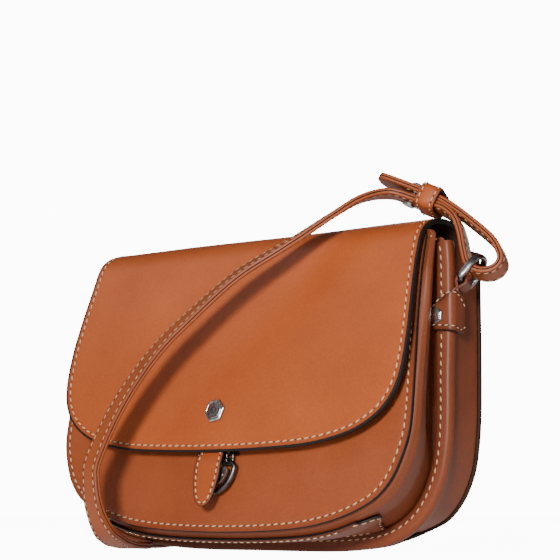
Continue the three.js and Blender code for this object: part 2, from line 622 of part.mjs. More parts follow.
// Eyes at the top of the frame hang on two staples
const EYE_X = [8.6, -10.5];
const EYE_HALF = 2.1;
const EYE_RISE = 6.4;
function eyePoint(across, rise) {
  return claspOrigin.clone().add(v3(across, 0.15 * rise, rise));
}
function claspFrame() {
  const path = [];
  const radii = [];
  for (const share of [-0.8, -0.4, 0, 0.4, 0.8]) {
    path.push(claspPoint(share * CLASP.halfWidth, 0));
    radii.push(CLASP.barRadius);
  }
  const steps = 13;
  for (let i = 0; i <= steps; i += 1) {
    const angle = mix(0.08, Math.PI - 0.08, i / steps);
    path.push(claspPoint(CLASP.halfWidth * Math.cos(angle), 1.2 + (CLASP.depth - 1.2) * Math.sin(angle)));
    radii.push(CLASP.rimRadius);
  }
  let frame = sweptRing(path, radii, 7);
  for (const x of EYE_X) {
    const legs = [-EYE_HALF, EYE_HALF].map((dx) => rod(
      eyePoint(x + dx, 0), eyePoint(x + dx, EYE_RISE), 0.7, 6,
    ));
    const bars = [2.6, EYE_RISE].map((rise) => rod(
      eyePoint(x - EYE_HALF - 0.6, rise), eyePoint(x + EYE_HALF + 0.6, rise), 0.7, 6,
    ));
    frame = join(frame, ...legs, ...bars);
  }
  return frame;
}

// The gate turns on the frame's straight bar and closes the D from inside
function claspGate() {
  const shape = new THREE.Shape();
  shape.moveTo(-8.2, -2.6);
  shape.absellipse(0, -3, 8.2, 9.4, Math.PI, 2 * Math.PI, false);
  shape.lineTo(8.2, -2.6);
  shape.lineTo(4.4, -1.6);
  shape.lineTo(4.4, 0);
  shape.lineTo(-4.4, 0);
  shape.lineTo(-4.4, -1.6);
  shape.closePath();
  const plate = new THREE.ExtrudeGeometry(shape, { depth: 1.8, bevelEnabled: false, curveSegments: 8 });
  plate.translate(0, 0, -0.9);
  const seat = (geometry) => place(geometry, claspOrigin, claspFace, claspDown.clone().negate());
  const sleeve = rod(v3(-4.6, 0, 0), v3(4.6, 0, 0), CLASP.barRadius + 1.25, 12);
  const bore = rod(v3(-9, 0, 0), v3(9, 0, 0), CLASP.barRadius + 0.4, 12);
  return seat(cut(join(plate, sleeve), bore));
}

// A plate behind the flap with two staples that hold the frame's eyes
function claspStaple() {
  const eyeTop = eyePoint(0, EYE_RISE);
  const plateZ = eyeTop.z + 2;
  const plateY = panelFace(plateZ) - GAP - 0.75;
  let staple = place(box(26, 9, 1.2), v3(CLASP.x, plateY, plateZ), v3(0, -1, 0.2), v3(0, 0, 1));
  for (const x of EYE_X) {
    const path = [];
    const centre = v3(CLASP.x + x, eyeTop.y, eyeTop.z);
    const radius = 1.8;
    for (let i = 0; i <= 8; i += 1) {
      const angle = mix(-0.1, Math.PI + 0.1, i / 8);
      path.push(centre.clone().add(v3(0, -radius * Math.sin(angle), radius * Math.cos(angle))));
    }
    path[0].y += 1.2;
    path[8].y += 1.2;
    const rings = path.map((point, i) => {
      const ahead = path[Math.min(i + 1, 8)].clone().sub(path[Math.max(i - 1, 0)]).normalize();
      const side = v3(1, 0, 0);
      const over = ahead.cross(side);
      return [0, 1, 2, 3, 4, 5].map((k) => point.clone()
        .addScaledVector(side, 0.6 * Math.cos((Math.PI * k) / 3))
        .addScaledVector(over, 0.6 * Math.sin((Math.PI * k) / 3)));
    });
    staple = join(staple, loft(rings));
  }
  return staple;
}

// Hexagonal stud with a low faceted dome, its Z along its axis
function hexStud(radius) {
  const levels = [
    { up: 0, wide: 0.95 }, { up: 0.5, wide: 1 }, { up: 1.1, wide: 1 }, { up: 1.6, wide: 0.9 },
    { up: 2.0, wide: 0.55 }, { up: 2.1, wide: 0.12 },
  ];
  const scale = radius / STUD_RADIUS;
  return loft(levels.map((level) => [0, 1, 2, 3, 4, 5].map((k) => v3(
    radius * level.wide * Math.sin((Math.PI * k) / 3),
    radius * level.wide * Math.cos((Math.PI * k) / 3),
    level.up * mix(1, scale, 0.5),
  ))));
}
const STUD_UP = 75;
const STUD_X = -0.8;
function flapStud() {
  const slope = (flapFace(STUD_UP + 1) - flapFace(STUD_UP - 1)) / 2;
  const normal = v3(0, -1, slope).normalize();
  const seat = v3(STUD_X, flapFace(STUD_UP), STUD_UP).addScaledVector(normal, GAP);
  return place(hexStud(STUD_RADIUS), seat, normal, v3(0.32, 0, 1));
}

// Side tabs: leather folded round the rear compartment's front bend, with a sleeve for the ring's bar
const TAB_FRONT_Y = SEAM_Y - GAP - TAB_WALL;
const TAB_SIDE_X = HALF_WIDTH + GAP + TAB_WALL;
const RING_SEAT = v3(HALF_WIDTH + 4.7, SEAM_Y + 4.5, 139.2);
const ringAlong = v3(-0.271, 0.937, -0.22).normalize();
const ringUp = v3(0.536, 0.337, 0.774);
ringUp.addScaledVector(ringAlong, -ringUp.dot(ringAlong)).normalize();

function sideTabPath(round) {
  const bend = 3.6;
  const innerX = HALF_WIDTH - FLANGE_WIDTH - 1.4;
  const straight = TAB_SIDE_X - bend - innerX;
  const side = 9.6;
  const arc = bend * Math.PI / 2;
  const along = round * (straight + arc + side);
  if (along <= straight) return { x: innerX + along, y: TAB_FRONT_Y };
  if (along <= straight + arc) {
    const angle = (along - straight) / bend;
    return {
      x: TAB_SIDE_X - bend + bend * Math.sin(angle),
      y: TAB_FRONT_Y + bend - bend * Math.cos(angle),
    };
  }
  return { x: TAB_SIDE_X, y: TAB_FRONT_Y + bend + along - straight - arc };
}
function sideTab(seat, ringLine) {
  const rounds = [0, 0.12, 0.24, 0.36, 0.44, 0.52, 0.6, 0.7, 0.8, 0.9, 0.96, 1];
  const grid = rounds.map((round) => {
    const { x, y } = sideTabPath(round);
    const low = readTable(SIDE_TAB_ROWS, 'round', round, 'low');
    const high = readTable(SIDE_TAB_ROWS, 'round', round, 'high');
    return [0, 0.25, 0.5, 0.75, 1].map((t) => v3(x, y, mix(low, high, t)));
  });
  const wrap = leather(grid, TAB_WALL, v3(1, -1, 0));
  const sleeveHalf = 4.6;
  const end = (side) => seat.clone().addScaledVector(ringLine, side * sleeveHalf);
  const sleeve = rod(end(-1), end(1), RING_BAR_RADIUS + GAP + 1.9, 12);
  const bore = rod(end(-1.4), end(1.4), RING_BAR_RADIUS + GAP, 12);
  return cut(join(wrap, sleeve), bore);
}
function tabStud() {
  const seat = v3(HALF_WIDTH - 7.6, TAB_FRONT_Y - GAP, 122.4);
  return place(hexStud(TAB_STUD_RADIUS), seat, FRONT, v3(0.1, 0, 1));
}

// Strap rings: a D of flat band with a round straight bar
function strapRing(seat, along, up) {
  const half = RING_HALF_INSIDE + RING_THICKNESS / 2;
  const leg = RING_REACH - half;
  const path = [];
  const flat = [];
  const add = (a, u, band) => {
    path.push({ a, u });
    flat.push(band);
  };
  for (const a of [-0.6, -0.2, 0.2, 0.6]) add(a * half, 0, 0);
  add(half * 0.93, 0.4, 0.3);
  add(half, 2, 0.8);
  add(half, leg, 1);
  const steps = 10;
  for (let i = 1; i < steps; i += 1) {
    const angle = (Math.PI * i) / steps;
    add(half * Math.cos(angle), leg + half * Math.sin(angle), 1);
  }
  add(-half, leg, 1);
  add(-half, 2, 0.8);
  add(-half * 0.93, 0.4, 0.3);
  const across = along.clone().cross(up).normalize();
  const at = ({ a, u }) => seat.clone().addScaledVector(along, a).addScaledVector(up, u);
  const points = path.map(at);
  const count = points.length;
  return loft(points.map((point, i) => {
    const tangent = points[(i + 1) % count].clone().sub(points[(i - 1 + count) % count]).normalize();
    const side = tangent.cross(across).normalize();
    const wide = mix(RING_BAR_RADIUS, RING_BAND / 2, flat[i]);
    const thick = mix(RING_BAR_RADIUS, RING_THICKNESS / 2, flat[i]);
    return [0, 1, 2, 3, 4, 5, 6, 7].map((k) => {
      const angle = (Math.PI * (k + 0.5)) / 4;
      const square = mix(1, 1.03, flat[i]);
      return point.clone().addScaledVector(across, wide * square * Math.cos(angle))
        .addScaledVector(side, thick * square * Math.sin(angle));
    });
  }), true);
}
const leftSeat = v3(-RING_SEAT.x, RING_SEAT.y + 2, RING_SEAT.z);
const leftAlong = v3(-0.1, 0.995, 0).normalize();
const leftHang = v3(-0.46, 0, -0.887);
leftHang.addScaledVector(leftAlong, -leftHang.dot(leftAlong)).normalize();

// Strap: one frame for each step along the route
function strapFrames(steps = 112) {
  const points = STRAP_ROUTE.map((row) => v3(row.across * HALF_WIDTH, -row.ahead * HALF_WIDTH, row.up * FLAP_TOP));
  const curve = new THREE.CatmullRomCurve3(points, false, 'centripetal');
  const frames = [];
  for (let i = 0; i <= steps; i += 1) {
    const t = i / steps;
    const place_ = t * (points.length - 1);
    const row = Math.min(Math.floor(place_), points.length - 2);
    const turn = (column) => THREE.MathUtils.degToRad(
      mix(STRAP_ROUTE[row][column], STRAP_ROUTE[row + 1][column], place_ - row),
    );
    const heading = turn('heading');
    const dip = turn('dip');
    const tangent = curve.getTangent(t);
    const wide = v3(Math.sin(heading) * Math.cos(dip), Math.cos(heading) * Math.cos(dip), -Math.sin(dip));
    wide.addScaledVector(tangent, -wide.dot(tangent)).normalize();
    frames.push({ point: curve.getPoint(t), tangent, wide, face: wide.clone().cross(tangent).normalize() });
  }
  return frames;
}
function strapBlank() {
  const half = STRAP_WIDTH / 2;
  const thick = STRAP_THICKNESS / 2;
  return loft(strapFrames().map(({ point, wide, face }) => [[-1, -1], [1, -1], [1, 1], [-1, 1]].map(
    ([a, b]) => point.clone().addScaledVector(wide, a * half).addScaledVector(face, b * thick),
  )));
}

// Posts through two layers of the strap: a button stud beside the keeper, and a rivet at the sewn end.
// The post stands square on the layer nearest `near` and ends in the layer it meets next.
function postAxis(near, from, to) {
  const frames = strapFrames(560);
  const closest = (point, list) => list.reduce((a, b) => (
    a.point.distanceTo(point) < b.point.distanceTo(point) ? a : b
  ));
  const first = closest(near, frames.slice(from[0], from[1]));
  const second = closest(first.point, frames.slice(to[0], to[1]));
  const way = first.face.clone();
  if (way.dot(second.point.clone().sub(first.point)) < 0) way.negate();
  const apart = second.point.clone().sub(first.point).dot(second.face) / way.dot(second.face);
  return { low: first.point.clone(), high: first.point.clone().addScaledVector(way, apart) };
}
const BUTTON = postAxis(v3(93.6, 0.8, 187.0), [160, 210], [0, 40]);
const RIVET = postAxis(v3(-133, 0, 105.5), [520, 561], [450, 505]);
function post({ low, high }, { head, foot, radius }) {
  const way = high.clone().sub(low).normalize();
  const reach = STRAP_THICKNESS / 2 + 2 * GAP;
  const bottom = low.clone().addScaledVector(way, -reach);
  const top = high.clone().addScaledVector(way, reach);
  const shaft = rod(bottom.clone().addScaledVector(way, -0.6), top.clone().addScaledVector(way, 0.6), radius, 10);
  const footDisc = rod(bottom.clone().addScaledVector(way, -1.2), bottom, foot, 10);
  const headDisc = rod(top, top.clone().addScaledVector(way, 1.1), head, 10);
  const crown = new THREE.SphereGeometry(head * 0.8, 10, 4);
  crown.scale(1, 1, 0.6);
  const dome = place(crown, top.clone().addScaledVector(way, 1), way, v3(0, 1, 0));
  return join(shaft, footDisc, headDisc, dome);
}
function hole({ low, high }, radius) {
  const way = high.clone().sub(low).normalize();
  return rod(low.clone().addScaledVector(way, -3.5), high.clone().addScaledVector(way, 3.5), radius, 10);
}
const POST_RADIUS = 1.7;
function strap() {
  return cut(strapBlank(), hole(BUTTON, POST_RADIUS + GAP), hole(RIVET, POST_RADIUS + GAP));
}

// Keeper: a closed loop of leather round both layers of the strap
const KEEPER = { centre: v3(105.6, 3.1, 186.1), along: v3(0.905, 0.13, -0.405), width: 11.2, wall: 1.8 };
function keeper() {
  const wide = v3(-0.271, 0.937, -0.22);
  const along = KEEPER.along.clone().addScaledVector(wide, -KEEPER.along.dot(wide)).normalize();
  const face = wide.clone().cross(along).normalize();
  const halfWide = STRAP_WIDTH / 2 + 1.9;
  const halfDeep = STRAP_THICKNESS + 2.5;
  const corner = 2.4;
  const rings = [];
  const perCorner = 4;
  for (let quarter = 0; quarter < 4; quarter += 1) {
    for (let i = 0; i < perCorner; i += 1) {
      const angle = (Math.PI / 2) * (quarter + i / (perCorner - 1));
      const cornerX = (halfWide - corner) * (quarter === 0 || quarter === 3 ? 1 : -1);
      const cornerY = (halfDeep - corner) * (quarter < 2 ? 1 : -1);
      const spoke = (radius) => KEEPER.centre.clone()
        .addScaledVector(wide, cornerX + radius * Math.cos(angle))
        .addScaledVector(face, cornerY + radius * Math.sin(angle));
      const near = spoke(corner);
      const far = spoke(corner + KEEPER.wall);
      const ends = [-KEEPER.width / 2, KEEPER.width / 2];
      rings.push([
        near.clone().addScaledVector(along, ends[0]), far.clone().addScaledVector(along, ends[0]),
        far.clone().addScaledVector(along, ends[1]), near.clone().addScaledVector(along, ends[1]),
      ]);
    }
  }
  return loft(rings, true);
}

// The bag
const bag = new THREE.Group();
bag.position.y = -BASE_CENTRE_Y;
function add(name, geometry, material) {
  const mesh = new THREE.Mesh(geometry, material);
  mesh.name = name;
  bag.add(mesh);
}
add('back_panel', backPanel(), hide);
add('rear_gusset', rearGusset(), hideShade);
add('middle_panel', middlePanel(), hideShade);
add('front_gusset', frontGusset(), hideShade);
add('front_panel', frontPanel(), hide);
add('flap', flap(), hide);
add('front_base_overlay', frontBaseOverlay(), hideShade);
add('rear_base_overlay', rearBaseOverlay(), hideShade);
add('closure_tab', closureTab(), hide);
add('clasp_frame', claspFrame(), darkSteel);
add('clasp_gate', claspGate(), darkSteel);
add('clasp_staple', claspStaple(), darkSteel);
add('flap_stud', flapStud(), steel);
add('side_tab_right', sideTab(RING_SEAT, ringAlong), hide);
add('side_tab_left', mirrored(sideTab(mirrorPoint(leftSeat), mirrorPoint(leftAlong))), hide);
add('tab_stud_right', tabStud(), steel);
add('tab_stud_left', mirrored(tabStud()), steel);
add('ring_right', strapRing(RING_SEAT, ringAlong, ringUp), steel);
add('ring_left', strapRing(leftSeat, leftAlong, leftHang), steel);
add('strap', strap(), hide);
add('strap_keeper', keeper(), hide);
add('strap_button', post(BUTTON, { head: 3.2, foot: 3.6, radius: POST_RADIUS }), steel);
add('strap_rivet', post(RIVET, { head: 3.4, foot: 3.4, radius: POST_RADIUS }), steel);

export default bag;
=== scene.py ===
import functools
import math

import bmesh
import bpy
import numpy as np
from mathutils import Matrix, Vector


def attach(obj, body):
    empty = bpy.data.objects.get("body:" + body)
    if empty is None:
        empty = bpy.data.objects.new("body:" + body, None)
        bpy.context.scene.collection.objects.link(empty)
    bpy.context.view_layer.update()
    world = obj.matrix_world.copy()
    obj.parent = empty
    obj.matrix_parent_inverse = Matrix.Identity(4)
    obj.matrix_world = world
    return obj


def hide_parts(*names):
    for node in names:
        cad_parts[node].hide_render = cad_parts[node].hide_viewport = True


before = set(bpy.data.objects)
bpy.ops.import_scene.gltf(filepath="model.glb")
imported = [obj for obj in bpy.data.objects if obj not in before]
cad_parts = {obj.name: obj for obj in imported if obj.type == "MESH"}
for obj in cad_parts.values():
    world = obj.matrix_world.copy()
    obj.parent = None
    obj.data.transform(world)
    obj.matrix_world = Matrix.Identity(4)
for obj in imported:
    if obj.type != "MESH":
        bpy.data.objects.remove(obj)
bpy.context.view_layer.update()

MM = 0.001

# The bag's own sizes, in millimetres, as its solids have them
HALF_WIDTH = 121.6
BODY_HEIGHT = 165.0
FLAP_TOP = 176.5
FRONT_SPREAD = 42.2
SHOULDER_Y = -13.8
FLAP_STANDOFF = 9.3
FLAP_STANDOFF_TOP = 5.4
SEAM_Y = -6.0
REAR_DEPTH = 30.5
BASE_CENTRE_Y = 12.5
PANEL_WALL = 2.0
GUSSET_WALL = 1.8
INNER_GUSSET_WALL = 1.4
FLAP_WALL = 2.8
OVERLAY_WALL = 1.5
TAB_WALL = 2.4
GAP = 0.3
SEAM_GAP = 0.45
FLANGE_WIDTH = 8.5
SIDE_RECESS = 1.9
TURN_IN = 8.0
STRAP_WIDTH = 15.0
STRAP_THICKNESS = 3.6
THREAD_INSET = 3.4

# Half outlines from the middle of the base to the top: share of the half width, share of the body's height
REAR_OUTLINE = [
    (0.000, 0.001), (0.329, 0.001), (0.510, 0.007), (0.658, 0.022), (0.765, 0.055), (0.843, 0.099),
    (0.905, 0.161), (0.951, 0.237), (0.975, 0.315), (0.986, 0.400), (0.991, 0.558), (0.998, 0.715),
    (1.000, 0.848), (0.999, 0.930), (0.993, 0.982)]
BACK_OUTLINE = [
    (0.000, 0.008), (0.329, 0.010), (0.493, 0.017), (0.617, 0.037), (0.715, 0.063), (0.826, 0.101),
    (0.904, 0.164), (0.959, 0.251), (0.981, 0.337), (0.992, 0.424), (0.997, 0.560), (0.999, 0.790),
    (0.998, 0.920), (0.993, 0.966)]
FRONT_OUTLINE = [
    (0.000, 0.063), (0.316, 0.070), (0.493, 0.084), (0.627, 0.107), (0.729, 0.135), (0.816, 0.170),
    (0.884, 0.223), (0.928, 0.290), (0.956, 0.364), (0.961, 0.433), (0.951, 0.578), (0.934, 0.722),
    (0.926, 0.867), (0.921, 1.000)]
FLAP_OUTLINE = [
    (0.000, 0.322), (0.262, 0.325), (0.526, 0.338), (0.703, 0.367), (0.790, 0.396), (0.860, 0.435),
    (0.910, 0.488), (0.937, 0.553), (0.945, 0.676), (0.935, 0.798), (0.924, 0.916), (0.921, 1.021)]
# The front gusset from the front panel to the seam: depth, its swell at the base and its swell at the sides
FRONT_SWELL = [(0.0, 0.0, 0.0), (0.08, 1.6, 3.2), (0.22, 3.2, 5.0), (0.42, 3.0, 5.2),
               (0.64, 1.4, 3.4), (0.84, 0.2, 0.6), (1.0, 0.0, 0.0)]
# The rear gusset from its flange to the back: out, back from the seam, share of the way to the back's outline
REAR_SECTION = [
    (-8.5, 0.0, 0), (-4.6, 0.0, 0), (-1.6, 0.4, 0), (-0.2, 2.0, 0), (0.0, 4.4, 0), (-0.9, 6.9, 0),
    (-1.9, 9.2, 0.05), (-1.9, 18.5, 0.5), (-1.1, 27.9, 1), (-1.5, 29.7, 1), (-9.9, 30.2, 1)]
# Ends of the front base overlay: depth on the gusset, share of the outline it reaches there
BRACKET_END = [(0.10, 0.338), (0.18, 0.345), (0.25, 0.365), (0.33, 0.381), (0.45, 0.377), (0.60, 0.359),
               (0.78, 0.342), (0.94, 0.331)]
# Closure tab: height, how far its face stands before the flap's inner face, half width
TAB_ROWS = [
    (74, 0.2, 7.8), (60, 0.2, 7.9), (52.4, 0.2, 8.1), (49.6, 2.0, 8.5), (46, 3.1, 8.6), (40, 3.8, 8.4),
    (34, 4.6, 7.4), (29.5, 5.0, 5.4), (26.5, 5.3, 3.2), (24.8, 5.4, 1.0)]
# Side tab: share of the way round the gusset, its low edge, its high edge
SIDE_TAB_ROWS = [
    (0.00, 115.0, 128.5), (0.22, 114.6, 130.5), (0.40, 114.2, 133.8), (0.50, 113.9, 136.0),
    (0.60, 113.4, 137.6), (0.74, 112.4, 137.8), (0.86, 112.6, 136.6), (0.94, 114.6, 134.6),
    (1.00, 118.0, 131.5)]
# Strap: across and forward in half widths, height in flap tops, heading and dip of its width in degrees
STRAP_ROUTE = [
    (0.629, 0.012, 1.136, -16, 13), (0.750, -0.010, 1.099, -16, 13), (0.838, -0.026, 1.070, -16, 13),
    (0.941, -0.042, 1.032, -16, 13), (1.062, -0.055, 0.967, -16, 13), (1.155, -0.062, 0.907, -16, 13),
    (1.187, -0.058, 0.870, -16, 13), (1.197, -0.053, 0.847, -16, 13), (1.187, -0.044, 0.8275, -16, 13),
    (1.160, -0.032, 0.8147, -16, 13), (1.123, -0.020, 0.8119, -16, 13), (1.096, -0.014, 0.8174, -16, 13),
    (1.073, -0.010, 0.8268, -16, 13), (1.054, -0.011, 0.8426, -16, 13), (1.040, -0.016, 0.8720, -16, 13),
    (1.013, -0.027, 0.9430, -16, 13), (0.987, -0.030, 0.9830, -16, 13), (0.941, -0.029, 1.0130, -16, 13),
    (0.889, -0.023, 1.0290, -16, 13), (0.834, -0.015, 1.040, -16, 13), (0.782, -0.007, 1.057, -17, 11),
    (0.698, 0.020, 1.081, -20, 4), (0.641, 0.062, 1.080, -26, -2), (0.580, 0.124, 1.061, -31, -7),
    (0.493, 0.201, 1.012, -37, -9), (0.381, 0.285, 0.948, -41, -10), (0.303, 0.339, 0.907, -40, -13),
    (0.139, 0.424, 0.831, -38, -19), (-0.064, 0.505, 0.707, -43, -22), (-0.200, 0.552, 0.616, -46, -24),
    (-0.365, 0.600, 0.465, -54, -24), (-0.483, 0.618, 0.327, -64, -18), (-0.521, 0.628, 0.256, -69, -7),
    (-0.513, 0.635, 0.196, -71, 4), (-0.500, 0.630, 0.138, -72, 10), (-0.488, 0.610, 0.094, -72, 14),
    (-0.492, 0.562, 0.059, -71, 13), (-0.520, 0.473, 0.034, -70, 8), (-0.576, 0.339, 0.019, -68, 3),
    (-0.645, 0.172, 0.013, -66, 0), (-0.740, 0.020, 0.0125, -68, 0), (-0.798, -0.181, 0.0125, -76, 0),
    (-0.831, -0.362, 0.023, -84, 0), (-0.863, -0.559, 0.091, -88, 0), (-0.888, -0.757, 0.227, -90, 0),
    (-0.913, -0.905, 0.355, -90, 0), (-0.938, -1.053, 0.440, -90, 0), (-0.970, -1.217, 0.466, -90, 0),
    (-1.003, -1.349, 0.405, -90, 0), (-1.028, -1.398, 0.284, -90, 0), (-1.053, -1.345, 0.140, -90, 0),
    (-1.069, -1.176, 0.044, -90, 0), (-1.077, -0.970, 0.014, -90, 0), (-1.094, -0.658, 0.014, -90, 0),
    (-1.110, -0.378, 0.023, -88, 0), (-1.127, -0.164, 0.068, -84, 0), (-1.139, -0.058, 0.193, -70, 0),
    (-1.145, -0.025, 0.351, -42, 0), (-1.146, -0.011, 0.499, -18, 0), (-1.147, -0.003, 0.601, -9, 0),
    (-1.146, 0.000, 0.666, -6, 0), (-1.140, 0.006, 0.7067, -6, 0), (-1.117, 0.004, 0.7369, -6, 0),
    (-1.096, 0.001, 0.7495, -6, 0), (-1.069, -0.001, 0.7479, -6, 0), (-1.052, -0.003, 0.7338, -6, 0),
    (-1.054, -0.002, 0.7146, -6, 0), (-1.074, 0.000, 0.6866, -6, 0), (-1.087, 0.001, 0.6538, -6, 0),
    (-1.094, 0.001, 0.6006, -6, 0), (-1.097, 0.001, 0.5552, -6, 0)]


# Reading the tables

def mix(a, b, t):
    return a + (b - a) * t


def ease(t):
    t = min(1.0, max(0.0, t))
    return t * t * (3 - 2 * t)


def column(rows, place, index):
    return float(np.interp(place, [row[0] for row in rows], [row[index] for row in rows]))


def unit(v):
    return np.asarray(v, float) / max(1e-12, float(np.linalg.norm(v)))


def smooth_run(points, count):
    """Centripetal curve through points, read at evenly spaced numbers of its control points."""
    points = np.asarray(points, float)
    last = len(points) - 1
    result = []
    for t in np.linspace(0, last, count):
        i = min(int(t), last - 1)
        w = t - i
        p1, p2 = points[i], points[i + 1]
        p0 = points[i - 1] if i else 2 * p1 - p2
        p3 = points[i + 2] if i + 2 <= last else 2 * p2 - p1
        d0, d1, d2 = (max(1e-4, math.sqrt(float(np.linalg.norm(b - a))))
                      for a, b in ((p0, p1), (p1, p2), (p2, p3)))
        t1 = ((p1 - p0) / d0 - (p2 - p0) / (d0 + d1) + (p2 - p1) / d1) * d1
        t2 = ((p2 - p1) / d1 - (p3 - p1) / (d1 + d2) + (p3 - p2) / d2) * d1
        c2 = -3 * p1 + 3 * p2 - 2 * t1 - t2
        c3 = 2 * p1 - 2 * p2 + t1 + t2
        result.append(p1 + t1 * w + c2 * w * w + c3 * w ** 3)
    return np.array(result)


def run_lengths(points):
    """Length along a run of points, counted from its first."""
    return np.concatenate([[0], np.cumsum(np.linalg.norm(np.diff(np.array(points), axis=0), axis=1))])


class Outline:
    """Half outline mirrored and read by its share of length, -1 left top, 0 bottom, 1 right top."""

    def __init__(self, points):
        right = [np.array(p, float) for p in points]
        left = [np.array((-p[0], p[1])) for p in right[1:]][::-1]
        self.run = smooth_run(left + right, 1400)
        lengths = run_lengths(self.run)
        self.share = lengths / lengths[-1]

    def read(self, share):
        share = min(1.0, max(0.0, share))
        return [float(np.interp(share, self.share, self.run[:, k])) for k in (0, 1)]

    def at(self, place):
        """The point at a place and the way outward there."""
        share, step = min(1.0, max(0.0, (place + 1) / 2)), 0.002
        ahead, back = self.read(share + step), self.read(share - step)
        tx, tz = unit((ahead[0] - back[0], ahead[1] - back[1]))
        return (*self.read(share), tz, -tx)


def sized(rows):
    return [(a * HALF_WIDTH, u * BODY_HEIGHT) for a, u in rows]


rear_outline = Outline(sized(REAR_OUTLINE))
back_outline = Outline(sized(BACK_OUTLINE))
front_outline = Outline(sized(FRONT_OUTLINE))


def flap_face(z):
    k = (FLAP_TOP - z) / BODY_HEIGHT
    return SHOULDER_Y - FRONT_SPREAD * (1.767 * k - 0.767 * k * k)


def panel_face(z):
    drawn = ease((z - 0.66 * BODY_HEIGHT) / (0.34 * BODY_HEIGHT))
    return flap_face(z) + mix(FLAP_STANDOFF, FLAP_STANDOFF_TOP, drawn)


def behind(face_at, z, wall):
    return face_at(z) + wall * math.hypot(1, (face_at(z + 1) - face_at(z - 1)) / 2)


# Meshes. Points come in millimetres with y counted from the seam, and leave in metres round the base.

def placed(points):
    points = np.asarray(points, float).reshape(-1, 3).copy()
    points[:, 1] -= BASE_CENTRE_Y
    return points * MM


def new_mesh(name, points, faces, materials=(), slots=None):
    mesh = bpy.data.meshes.new(name)
    mesh.from_pydata([tuple(p) for p in placed(points)], [], [tuple(int(k) for k in f) for f in faces])
    for material in materials:
        mesh.materials.append(material)
    if slots is not None:
        mesh.polygons.foreach_set("material_index", np.asarray(slots, dtype=np.int32))
    mesh.update()
    return mesh


def grid_faces(rows, columns, closed_rows=False, closed_columns=False):
    faces = []
    for i in range(rows if closed_rows else rows - 1):
        k = (i + 1) % rows
        for j in range(columns if closed_columns else columns - 1):
            m = (j + 1) % columns
            faces.append((i * columns + j, k * columns + j, k * columns + m, i * columns + m))
    return faces


def skin(rings, closed=False):
    """Points and faces over rings of equally many points, capped at both ends unless the run closes."""
    count = len(rings[0])
    points = [p for ring in rings for p in ring]
    faces = grid_faces(len(rings), count, closed_rows=closed, closed_columns=True)
    if not closed:
        faces += [tuple(range(count)), tuple(range(len(points) - 1, len(points) - 1 - count, -1))]
    return points, faces


def gathered(parts):
    points, faces = [], []
    for part_points, part_faces in parts:
        start = len(points)
        points += list(part_points)
        faces += [tuple(start + k for k in face) for face in part_faces]
    return points, faces


def face_outward(mesh, weld=None, facing=None):
    """Makes the normals agree, and turns an open sheet's face to the side it is told."""
    bm = bmesh.new()
    bm.from_mesh(mesh)
    if weld:
        bmesh.ops.remove_doubles(bm, verts=bm.verts, dist=weld)
    bmesh.ops.recalc_face_normals(bm, faces=bm.faces)
    if facing and sum(f.normal.dot(Vector(facing)) * f.calc_area() for f in bm.faces) < 0:
        bmesh.ops.reverse_faces(bm, faces=bm.faces)
    bm.to_mesh(mesh)
    bm.free()


def tidy_shading(mesh, angle):
    mesh.polygons.foreach_set("use_smooth", [True] * len(mesh.polygons))
    mesh.set_sharp_from_angle(angle=math.radians(angle))


def linked(name, mesh):
    piece = bpy.data.objects.new(name, mesh)
    bpy.context.scene.collection.objects.link(piece)
    return piece


def add_object(name, mesh, slot, replaces=(), body="root"):
    piece = linked(name, mesh)
    if replaces:
        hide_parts(*replaces)
    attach(piece, body)


def evaluated(temporary):
    """The finished mesh of an object whose modifiers are then dropped with it."""
    depsgraph = bpy.context.evaluated_depsgraph_get()
    mesh = bpy.data.meshes.new_from_object(temporary.evaluated_get(depsgraph), depsgraph=depsgraph)
    bpy.data.objects.remove(temporary)
    return mesh


def store_distance(mesh, values):
    """Distance from the cut edge in metres, which the hide's finish reads to paint shade that darkens it
    towards the edge.
    """
    attribute = mesh.attributes.new("from_edge", "FLOAT", "POINT")
    attribute.data.foreach_set("value", np.asarray(values, dtype=np.float32))


def leather(name, points, faces, distances, wall, facing, finish, replaces=(), slot="hide",
            rim=None, round_edge=0.32, painted=0.55):
    """A sheet of hide: the given face outside, the flesh side one wall behind in a finish darkened as painted
    shade, painted cut edges.
    """
    mesh = new_mesh(name, points, faces, (finish, rim or edge_paint, shaded_flesh_side, edge_paint))
    store_distance(mesh, distances)
    face_outward(mesh, 1e-6, facing)
    depth = np.empty(len(mesh.vertices), dtype=np.float32)
    mesh.attributes["from_edge"].data.foreach_get("value", depth)
    # Faces within this band of the cut edge take the dark edge finish: edge paint wrapped over the face, and on
    # the flap also painted shadow along its edge.
    for polygon in mesh.polygons:
        if max(depth[v] for v in polygon.vertices) <= painted * MM:
            polygon.material_index = 3
    shell = linked(name + "_cut", mesh)
    sheet = shell.modifiers.new("wall", "SOLIDIFY")
    sheet.thickness = wall * MM
    sheet.offset = -1
    sheet.use_even_offset = False
    sheet.material_offset = 2
    sheet.material_offset_rim = 1
    edge = shell.modifiers.new("worn edge", "BEVEL")
    edge.width = round_edge * MM
    edge.segments = 2
    edge.limit_method = "ANGLE"
    edge.angle_limit = math.radians(60)
    finished = evaluated(shell)
    finished.name = name
    tidy_shading(finished, 50)
    add_object(name, finished, slot, replaces)


def sheet(name, rows, *more, **settings):
    """A hide over rows of (point, distance from the cut edge)."""
    leather(name, [p for row in rows for p, _ in row], grid_faces(len(rows), len(rows[0])),
            [d * MM for row in rows for _, d in row], *more, **settings)


def closed_piece(name, points, faces, finishes, slot, replaces, angle, slots=None, distances=None,
                 body="root"):
    """A mesh without an open side, in one finish or with a slot named for each face."""
    mesh = new_mesh(name, points, faces, finishes, slots)
    if distances:
        store_distance(mesh, distances)
    face_outward(mesh, None if distances else 1e-7)
    tidy_shading(mesh, angle)
    add_object(name, mesh, slot, replaces, body)


# Finishes

